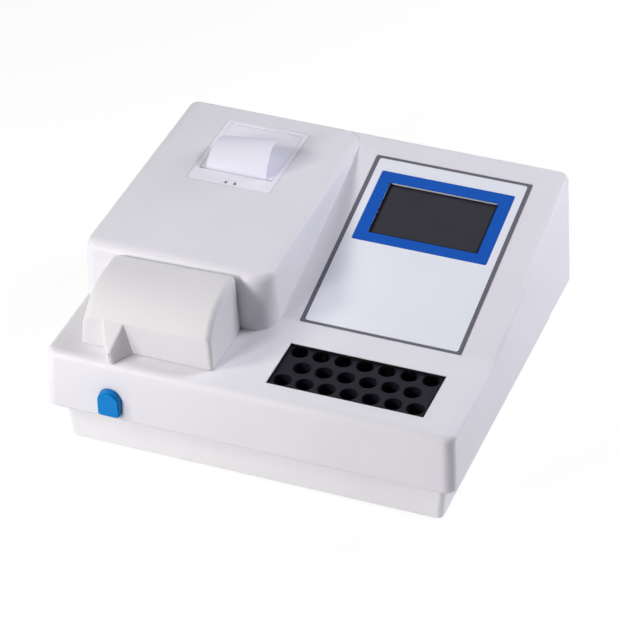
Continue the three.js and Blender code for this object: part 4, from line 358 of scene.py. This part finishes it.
# How each finish is made, with what it is called and how it differs from its kind
RECIPES = {
    "case": (moulded, "case_plastic", dict(edge=1.5 * MM)),
    "tray": (moulded, "tray_plastic", dict(edge=1.2 * MM)),
    "lid": (moulded, "cover_plastic", dict(roughness=0.55, grain=0.4 * MM, strength=0.15, specular=0.3)),
    "film": (printed_film, "panel_film", dict()),
    "surround": (printed_film, "surround_film", dict(specular=0.12, coat=0)),
    "ink": (printed_film, "border_ink", dict(specular=0.2, coat=0)),
    "bezel": (moulded, "bezel_plastic", dict(roughness=0.4, grain=0.35 * MM, strength=0.15)),
    "block": (moulded, "anodised_block", dict(roughness=0.5, grain=0.2 * MM, specular=0.12)),
    "key": (moulded, "key_plastic", dict(roughness=0.28, grain=0.4 * MM, strength=0.08, specular=0.15)),
    "black": (moulded, "black_plastic", dict(roughness=0.5, grain=0.35 * MM, specular=0.2)),
    "gasket": (moulded, "gasket_foam", dict(roughness=0.9, strength=0.5, specular=0.1)),
    "mark": (moulded, "mark_paint", dict(roughness=0.6, grain=0.2 * MM, strength=0.1, edge=0.02 * MM)),
    "grey": (moulded, "grey_plastic", dict(roughness=0.5)),
    "rubber": (moulded, "rubber", dict(roughness=0.8, grain=0.6 * MM, strength=0.5, specular=0.2)),
    "paper": (fibrous, "thermal_paper", dict()),
    "steel": (metal, "steel", dict(roughness=0.28)),
    "aluminium": (metal, "aluminium", dict(roughness=0.38, stretch=(1, 12, 1))),
    "brass": (metal, "brass", dict()),
    "tinned": (metal, "tinned_steel", dict(roughness=0.42)),
    "glass": (clear, "optical_glass", dict()),
    "tube": (clear, "silicone_tube", dict(roughness=0.25, ior=1.4)),
    "board": (laminate, "circuit_board", dict()),
    "ceramic": (moulded, "ceramic", dict(roughness=0.55, grain=0.8 * MM, strength=0.3)),
    "kapton": (printed_film, "heater_film", dict()),
    "screen": (dark_glass, "screen_glass", dict()),
}
FINISHES = {key: make(name, COLOURS[key], **values) for key, (make, name, values) in RECIPES.items()}

for index, colour in enumerate(FILTER_COLOURS, 1):
    FINISHES[f"filter_{index}"] = clear(f"filter_glass_{index}", colour)

# The solids that wear each finish
WEAR = {
    "case": ["upper_cover"],
    "tray": ["base_tray"],
    "lid": ["measuring_cover"],
    "film": ["panel_overlay"],
    "surround": ["screen_surround"],
    "screen": ["lcd_module"],
    "bezel": ["printer_frame", "printer_door", "release_tab"],
    "block": ["incubator_block"],
    "key": ["aspirate_key"],
    "rubber": ["foot_front_left", "foot_front_right", "foot_rear_left", "foot_rear_right", "platen_roller"],
    "paper": ["paper_roll", "paper_strip"],
    "board": ["display_board", "main_board"],
    "kapton": ["incubator_heater"],
    "steel": ["hinge_rod", "sipper_tube", "pump_roller_1", "pump_roller_2", "pump_roller_3"],
    "aluminium": ["incubator_bracket", "optic_bench", "lamp_block", "flow_cell_holder", "filter_wheel"],
    "tinned": ["power_supply", "pump_motor", "filter_motor", "printer_motor"],
    "brass": ["inlet_pin_1", "inlet_pin_2", "inlet_pin_3"],
    "glass": ["flow_cell", "lens", "lamp_bulb"],
    "ceramic": ["lamp_base", "thermal_head"],
    "grey": ["hinge_post_left", "hinge_post_right", "drive_gear", "pump_rotor"],
    "black": [
        "measuring_bay", "pump_head", "lens_tube", "photodetector", "key_switch", "fan_frame",
        "fan_rotor", "inlet_module", "power_rocker", "serial_port", "drain_port",
    ],
    "tube": ["drain_tube"],
}


def dress(node, finish):
    """Gives a CAD node its finish."""
    mesh = nodes[node].data
    mesh.materials.clear()
    mesh.materials.append(FINISHES[finish])


def smoothing():
    """Welds a solid's split points and keeps only its edges over the sharp angle sharp."""
    group = bpy.data.node_groups.new("weld_and_smooth", "GeometryNodeTree")
    for direction in ("INPUT", "OUTPUT"):
        group.interface.new_socket("Geometry", in_out=direction, socket_type="NodeSocketGeometry")
    entry = group.nodes.new("NodeGroupInput")
    leave = group.nodes.new("NodeGroupOutput")
    weld = group.nodes.new("GeometryNodeMergeByDistance")
    weld.inputs["Distance"].default_value = WELD_DISTANCE
    angle = group.nodes.new("GeometryNodeInputMeshEdgeAngle")
    sharp = group.nodes.new("FunctionNodeCompare")
    sharp.inputs["B"].default_value = SHARP_ANGLE
    smooth = group.nodes.new("GeometryNodeSetMeshNormal")
    smooth.inputs["Remove Custom"].default_value = True
    group.links.new(entry.outputs["Geometry"], weld.inputs["Geometry"])
    group.links.new(weld.outputs["Geometry"], smooth.inputs["Mesh"])
    group.links.new(angle.outputs["Unsigned Angle"], sharp.inputs["A"])
    group.links.new(sharp.outputs["Result"], smooth.inputs["Edge Sharpness"])
    group.links.new(smooth.outputs["Mesh"], leave.inputs["Geometry"])
    return group


def soften(made, group):
    """Smooth shading in which the large flat faces keep their normals."""
    made.modifiers.new("weld_and_smooth", "NODES").node_group = group
    weighted = made.modifiers.new("flat_faces_first", "WEIGHTED_NORMAL")
    weighted.mode = "FACE_AREA_WITH_ANGLE"
    weighted.keep_sharp = True


for finish, names in WEAR.items():
    for name in names:
        dress(name, finish)

smooth_group = smoothing()
for made in nodes.values():
    soften(made, smooth_group)


def piece(name, mesh, finish, body):
    """A piece of trim that rides on a body."""
    mesh.materials.append(FINISHES[finish])
    made = bpy.data.objects.new(name, mesh)
    scene.collection.objects.link(made)
    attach(made, body)
    return made


def mesh_from(name, build, matrix=None):
    """A mesh made by a function that fills a bmesh, moved by the matrix."""
    form = bmesh.new()
    build(form)
    bmesh.ops.recalc_face_normals(form, faces=form.faces)
    mesh = bpy.data.meshes.new(name)
    form.to_mesh(mesh)
    form.free()
    if matrix:
        mesh.transform(matrix)
    return mesh


def repeated(name, build, matrices):
    """One mesh that holds a form at several places."""
    form = bmesh.new()
    for matrix in matrices:
        single = mesh_from(name, build, matrix)
        form.from_mesh(single)
        bpy.data.meshes.remove(single)
    mesh = bpy.data.meshes.new(name)
    form.to_mesh(mesh)
    form.free()
    return mesh


def smooth_piece(name, build, matrices, finish, body):
    """A piece of trim with round faces, at one place or more."""
    soften(piece(name, repeated(name, build, matrices), finish, body), smooth_group)


def middle(node):
    """The middle of a node's box."""
    low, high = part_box(node)
    return (Vector(low) + Vector(high)) / 2


def facing(place, direction):
    """A frame at a place whose Z points along a direction."""
    matrix = Vector(direction).to_track_quat("Z", "Y").to_matrix().to_4x4()
    matrix.translation = Vector(place)
    return matrix


def plane_of(node):
    """A flat node's face: a frame at its low left corner, X across and Y up the slope, and its size."""
    mesh = nodes[node].data
    top = [face for face in mesh.polygons if face.normal.z > FACES_UP]
    normal = sum((face.normal * face.area for face in top), Vector()).normalized()
    across = Vector((1, 0, 0))
    upward = normal.cross(across).normalized()
    points = [vertex.co for vertex in mesh.vertices]
    low_across = min(point.dot(across) for point in points)
    low_upward = min(point.dot(upward) for point in points)
    high_normal = max(point.dot(normal) for point in points)
    size = (
        max(point.dot(across) for point in points) - low_across,
        max(point.dot(upward) for point in points) - low_upward,
    )
    corner = across * low_across + upward * low_upward + normal * high_normal
    matrix = Matrix((across, upward, normal)).transposed().to_4x4()
    matrix.translation = corner
    return matrix, size


def circle(radius, count=32):
    """The corners of a circle, counter-clockwise."""
    angles = [2 * math.pi * index / count for index in range(count)]
    return [(radius * math.cos(angle), radius * math.sin(angle)) for angle in angles]


def rounded_outline(x0, x1, y0, y1, radius, steps=6):
    """The corners of a rectangle with round corners, counter-clockwise."""
    low_x, high_x = x0 + radius, x1 - radius
    low_y, high_y = y0 + radius, y1 - radius
    centres = [(high_x, high_y), (low_x, high_y), (low_x, low_y), (high_x, low_y)]
    outline = []
    for quarter, (x, y) in enumerate(centres):
        for step in range(steps + 1):
            angle = math.pi / 2 * (quarter + step / steps)
            outline.append((x + radius * math.cos(angle), y + radius * math.sin(angle)))
    return outline


def level_of(form, outline, height):
    """An outline's corners at a height, as points of a form."""
    return [form.verts.new((x, y, height)) for x, y in outline]


def bridge(form, low, high):
    """Faces between two rings of as many points."""
    count = len(low)
    for index in range(count):
        after = (index + 1) % count
        form.faces.new((low[index], low[after], high[after], high[index]))


def fill_between(form, *loops):
    """A flat face between an outer loop of points and an inner one."""
    edges = [
        form.edges.get((start, end)) for loop in loops for start, end in zip(loop, loop[1:] + loop[:1])
    ]
    bmesh.ops.triangle_fill(form, use_beauty=True, edges=edges)


def band(outer, inner, thickness):
    """Fills a bmesh with a flat band between two outlines of as many points."""
    def build(form):
        sides = ((outer, 0), (outer, thickness), (inner, thickness), (inner, 0))
        levels = [level_of(form, outline, height) for outline, height in sides]
        for here, there in zip(levels, levels[1:] + levels[:1]):
            bridge(form, here, there)
    return build


def plate(outline, thickness):
    """Fills a bmesh with an upright prism on an outline."""
    def build(form):
        low = level_of(form, outline, 0)
        high = level_of(form, outline, thickness)
        bridge(form, low, high)
        form.faces.new(reversed(low))
        form.faces.new(high)
    return build


def turned(profile):
    """Fills a bmesh with a body turned about Z: (radius, height) from its foot to its top, both closed."""
    def build(form):
        rings = [level_of(form, circle(radius), height) for radius, height in profile]
        for low, high in zip(rings, rings[1:]):
            bridge(form, low, high)
        form.faces.new(reversed(rings[0]))
        form.faces.new(rings[-1])
    return build


def cross_outline(form, reach, width, height):
    """The twelve corners of a cross, counter-clockwise."""
    corners = []
    for quarter in range(4):
        turn = Matrix.Rotation(math.pi / 2 * quarter, 3, "Z")
        for x, y in ((width, -width), (reach, -width), (reach, width)):
            corners.append(form.verts.new(turn @ Vector((x, y, height))))
    return corners


def cross_screw(radius, height):
    """Fills a bmesh with a pan head that has a cross recess in its crown."""
    def build(form):
        profile = [(radius * share, -FASTENER_SEAT) for share in PAN_FOOT_SHARES]
        profile += [(radius * wide, height * high) for wide, high in PAN_SHARES]
        profile.append((radius * CROWN_SHARE, height))
        rings = [level_of(form, circle(wide, SCREW_SIDES), level) for wide, level in profile]
        for low, high in zip(rings, rings[1:]):
            bridge(form, low, high)
        form.faces.new(reversed(rings[0]))
        mouth_reach, mouth_width = RECESS_MOUTH_SHARES
        pit_reach, pit_width = RECESS_PIT_SHARES
        mouth = cross_outline(form, radius * mouth_reach, radius * mouth_width, height)
        pit = cross_outline(form, radius * pit_reach, radius * pit_width, height * RECESS_LEVEL_SHARE)
        bridge(form, pit, mouth)
        form.faces.new(reversed(pit))
        fill_between(form, rings[-1], mouth)
    return build


def hex_post(radius, bore, length):
    """Fills a bmesh with a hexagonal post with a blind hole in its end."""
    def build(form):
        outside = circle(radius, POST_SIDES)
        inside = circle(bore, POST_BORE_SIDES)
        low = level_of(form, outside, -FASTENER_SEAT)
        high = level_of(form, outside, length)
        mouth = level_of(form, inside, length)
        pit = level_of(form, inside, length * POST_PIT_SHARE)
        bridge(form, low, high)
        bridge(form, pit, mouth)
        form.faces.new(reversed(low))
        form.faces.new(pit)
        fill_between(form, high, mouth)
    return build


def panel_border():
    """Printed border round the edge of the panel film."""
    matrix, (width, length) = plane_of("panel_overlay")
    inner = (BORDER_SIDE, width - BORDER_SIDE, BORDER_END, length - BORDER_END)
    border = band(
        rounded_outline(0, width, 0, length, BORDER_CORNER),
        rounded_outline(*inner, BORDER_INNER_CORNER),
        INK_THICKNESS,
    )
    piece("panel_border", mesh_from("panel_border", border, matrix), "ink", "case")


def tray_screws():
    """Screws that hold the tray to the cover, seen from below: four at the corners and two at the sides."""
    (_, front, parting), (right, back, _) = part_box("upper_cover")
    centre = (front + back) / 2
    corner_x = right - BOSS_CORNER_INSET
    corner_y = (back - front) / 2 - BOSS_CORNER_INSET
    side_x = right - BOSS_SIDE_INSET
    places = [(side * corner_x, centre + end * corner_y) for side in (-1, 1) for end in (-1, 1)]
    places += [(-side_x, centre), (side_x, centre)]
    matrices = [facing((x, y, parting), (0, 0, -1)) for x, y in places]
    smooth_piece("tray_screws", cross_screw(TRAY_SCREW_RADIUS, SCREW_HEIGHT), matrices, "steel", "case")


def on_rear_wall(x, z):
    """A frame on the outside of the rear wall that faces backward."""
    return facing((x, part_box("upper_cover")[1][1], z), (0, 1, 0))


def fan_screws():
    """Screws at the four corners of the fan, on the rear wall."""
    fan = middle("fan_frame")
    corners = [(side * FAN_SCREW_REACH, end * FAN_SCREW_REACH) for side in (-1, 1) for end in (-1, 1)]
    matrices = [on_rear_wall(fan.x + x, fan.z + z) for x, z in corners]
    smooth_piece("fan_screws", cross_screw(FAN_SCREW_RADIUS, SCREW_HEIGHT), matrices, "steel", "case")


def port_posts():
    """Threaded posts on both sides of the serial port, on the rear wall."""
    port = middle("serial_port")
    matrices = [on_rear_wall(port.x + side * POST_REACH, port.z) for side in (-1, 1)]
    smooth_piece("port_posts", hex_post(POST_RADIUS, POST_BORE, POST_LENGTH), matrices, "steel", "case")


def screen_gasket():
    """Black foam gasket on three sides of the screen, dark so as to paint the shade along the window's inner
    edges. The fourth shows the cover's own wall.
    """
    matrix, (width, length) = plane_of("lcd_module")
    outer = SCREEN_MARGIN + GASKET_GAP
    inner = SCREEN_MARGIN + GASKET_WIDTH
    outline = [
        (outer, outer), (width - outer, outer), (width - outer, length - outer),
        (width - inner, length - outer), (width - inner, inner), (inner, inner),
        (inner, length - outer), (outer, length - outer),
    ]
    gasket = plate(outline, GASKET_HEIGHT)
    piece("screen_gasket", mesh_from("screen_gasket", gasket, matrix), "gasket", "case")


def rocker_marks():
    """On and off marks in the two halves of the mains rocker, the lower of which leans out at rest."""
    ridge = middle("power_rocker")
    ridge.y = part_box("inlet_module")[1][1] - ROCKER_DEPTH
    ridge.z += ROCKER_RIDGE
    upright = Matrix.Translation(ridge) @ Matrix.Rotation(-math.pi / 2, 4, "X")
    leaning = upright @ Matrix.Rotation(ROCKER_LEAN, 4, "X")
    on_matrix = upright @ Matrix.Translation((0, -ROCKER_HALF / 2, 0))
    off_matrix = leaning @ Matrix.Translation((0, ROCKER_HALF / 2, 0))
    x, y = MARK_LINE / 2, MARK_REACH
    on_bar = plate([(-x, -y), (x, -y), (x, y), (-x, y)], MARK_HEIGHT)
    off_ring = band(circle(MARK_REACH), circle(MARK_REACH - MARK_LINE), MARK_HEIGHT)
    piece("rocker_mark_on", mesh_from("rocker_mark_on", on_bar, on_matrix), "mark", "rocker")
    piece("rocker_mark_off", mesh_from("rocker_mark_off", off_ring, off_matrix), "mark", "rocker")


def block_liner():
    """Dark liner between the tube block and the edge of its opening."""
    (x0, y0, _), (x1, y1, top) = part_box("incubator_block")
    inner = (x0 + LINER_WIDTH, x1 - LINER_WIDTH, y0 + LINER_WIDTH, y1 - LINER_WIDTH)
    liner = band(
        rounded_outline(x0, x1, y0, y1, LINER_CORNER),
        rounded_outline(*inner, LINER_CORNER),
        LINER_HEIGHT,
    )
    matrix = Matrix.Translation((0, 0, top))
    piece("block_liner", mesh_from("block_liner", liner, matrix), "gasket", "case")


def wheel_filters():
    """Interference filters in the wheel's holes."""
    wheel = middle("filter_wheel")
    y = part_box("filter_wheel")[1][1] - WHEEL_THICKNESS / 2
    half = FILTER_THICKNESS / 2
    bevel = half - FILTER_CHAMFER
    slim = FILTER_RADIUS - FILTER_CHAMFER
    disc = turned([(slim, -half), (FILTER_RADIUS, -bevel), (FILTER_RADIUS, bevel), (slim, half)])
    count = len(FILTER_COLOURS)
    for index in range(count):
        angle = math.pi + 2 * math.pi * index / count
        place = (wheel.x + FILTER_ORBIT * math.cos(angle), y, wheel.z + FILTER_ORBIT * math.sin(angle))
        key = index + 1
        smooth_piece(f"filter_glass_{key}", disc, [facing(place, (0, 1, 0))], f"filter_{key}", "wheel")


def area_light(name, place, size, power, colour):
    """A round lamp that shines on the object."""
    lamp = bpy.data.lights.new(name, "AREA")
    lamp.shape = "DISK"
    lamp.size = size
    lamp.energy = power
    lamp.color = colour
    made = bpy.data.objects.new(name, lamp)
    made.location = place
    beam = Vector(LIGHT_TARGET) - Vector(place)
    made.rotation_euler = beam.to_track_quat("-Z", "Y").to_euler()
    scene.collection.objects.link(made)


def backdrop_share(tree):
    """1 for rays that see the background, straight or in a gloss or glass, and 0 for light on the object."""
    path = tree.nodes.new("ShaderNodeLightPath")
    share = path.outputs["Is Camera Ray"]
    for other in ("Is Glossy Ray", "Is Transmission Ray"):
        larger = tree.nodes.new("ShaderNodeMath")
        larger.operation = "MAXIMUM"
        tree.links.new(share, larger.inputs[0])
        tree.links.new(path.outputs[other], larger.inputs[1])
        share = larger.outputs["Value"]
    return share


def white_room():
    """A world that shows white and gives the object a little light from all sides."""
    world = bpy.data.worlds.new("white_room")
    world.use_nodes = True
    tree = world.node_tree
    background = tree.nodes["Background"]
    background.inputs["Color"].default_value = (1, 1, 1, 1)
    level = tree.nodes.new("ShaderNodeMapRange")
    level.inputs["To Min"].default_value = ROOM_LEVEL
    level.inputs["To Max"].default_value = 1
    tree.links.new(backdrop_share(tree), level.inputs["Value"])
    tree.links.new(level.outputs["Result"], background.inputs["Strength"])
    scene.world = world


def white_floor():
    """A plain floor that shows white but keeps a light shadow."""
    def build(form):
        bmesh.ops.create_grid(form, x_segments=1, y_segments=1, size=FLOOR_SIZE / 2)

    mesh = mesh_from("floor", build)
    finish = bpy.data.materials.new("floor_paper")
    finish.use_nodes = True
    tree = finish.node_tree
    paper = tree.nodes["Principled BSDF"]
    paper.inputs["Base Color"].default_value = (FLOOR_SHADE, FLOOR_SHADE, FLOOR_SHADE, 1)
    paper.inputs["Roughness"].default_value = FLOOR_ROUGHNESS
    paper.inputs["Specular IOR Level"].default_value = 0
    glow = tree.nodes.new("ShaderNodeEmission")
    glow.inputs["Strength"].default_value = FLOOR_GLOW
    share = tree.nodes.new("ShaderNodeMath")
    share.operation = "MULTIPLY"
    share.inputs[1].default_value = 1 - FLOOR_SHADOW_SHARE
    mixed = tree.nodes.new("ShaderNodeMixShader")
    tree.links.new(backdrop_share(tree), share.inputs[0])
    tree.links.new(share.outputs["Value"], mixed.inputs["Fac"])
    tree.links.new(paper.outputs["BSDF"], mixed.inputs[1])
    tree.links.new(glow.outputs["Emission"], mixed.inputs[2])
    tree.links.new(mixed.outputs["Shader"], tree.nodes["Material Output"].inputs["Surface"])
    mesh.materials.append(finish)
    mesh.transform(Matrix.Translation((0, 0, -FLOOR_DROP)))
    floor = bpy.data.objects.new("floor", mesh)
    scene.collection.objects.link(floor)


def photo_camera():
    """The camera that took the picture, from its place and three turns."""
    right = Vector((math.cos(CAMERA_AZIMUTH), math.sin(CAMERA_AZIMUTH), 0))
    backward = Vector((
        math.sin(CAMERA_AZIMUTH) * math.cos(CAMERA_ELEVATION),
        -math.cos(CAMERA_AZIMUTH) * math.cos(CAMERA_ELEVATION),
        math.sin(CAMERA_ELEVATION),
    ))
    upward = backward.cross(right)
    turned_right = right * math.cos(CAMERA_ROLL) + upward * math.sin(CAMERA_ROLL)
    turned_up = upward * math.cos(CAMERA_ROLL) - right * math.sin(CAMERA_ROLL)
    data = bpy.data.cameras.new("camera")
    data.lens = CAMERA_LENS
    data.sensor_width = CAMERA_SENSOR
    data.clip_start = CAMERA_NEAR
    data.clip_end = CAMERA_FAR
    made = bpy.data.objects.new("camera", data)
    matrix = Matrix((turned_right, turned_up, backward)).transposed().to_4x4()
    matrix.translation = Vector(CAMERA_PLACE)
    made.matrix_world = matrix
    scene.collection.objects.link(made)
    scene.camera = made


panel_border()
tray_screws()
fan_screws()
port_posts()
screen_gasket()
rocker_marks()
block_liner()
wheel_filters()
white_room()
white_floor()
photo_camera()
for name, (place, size, power, colour) in LAMPS.items():
    area_light(name, place, size, power, colour)
scene.view_settings.view_transform = "Standard"
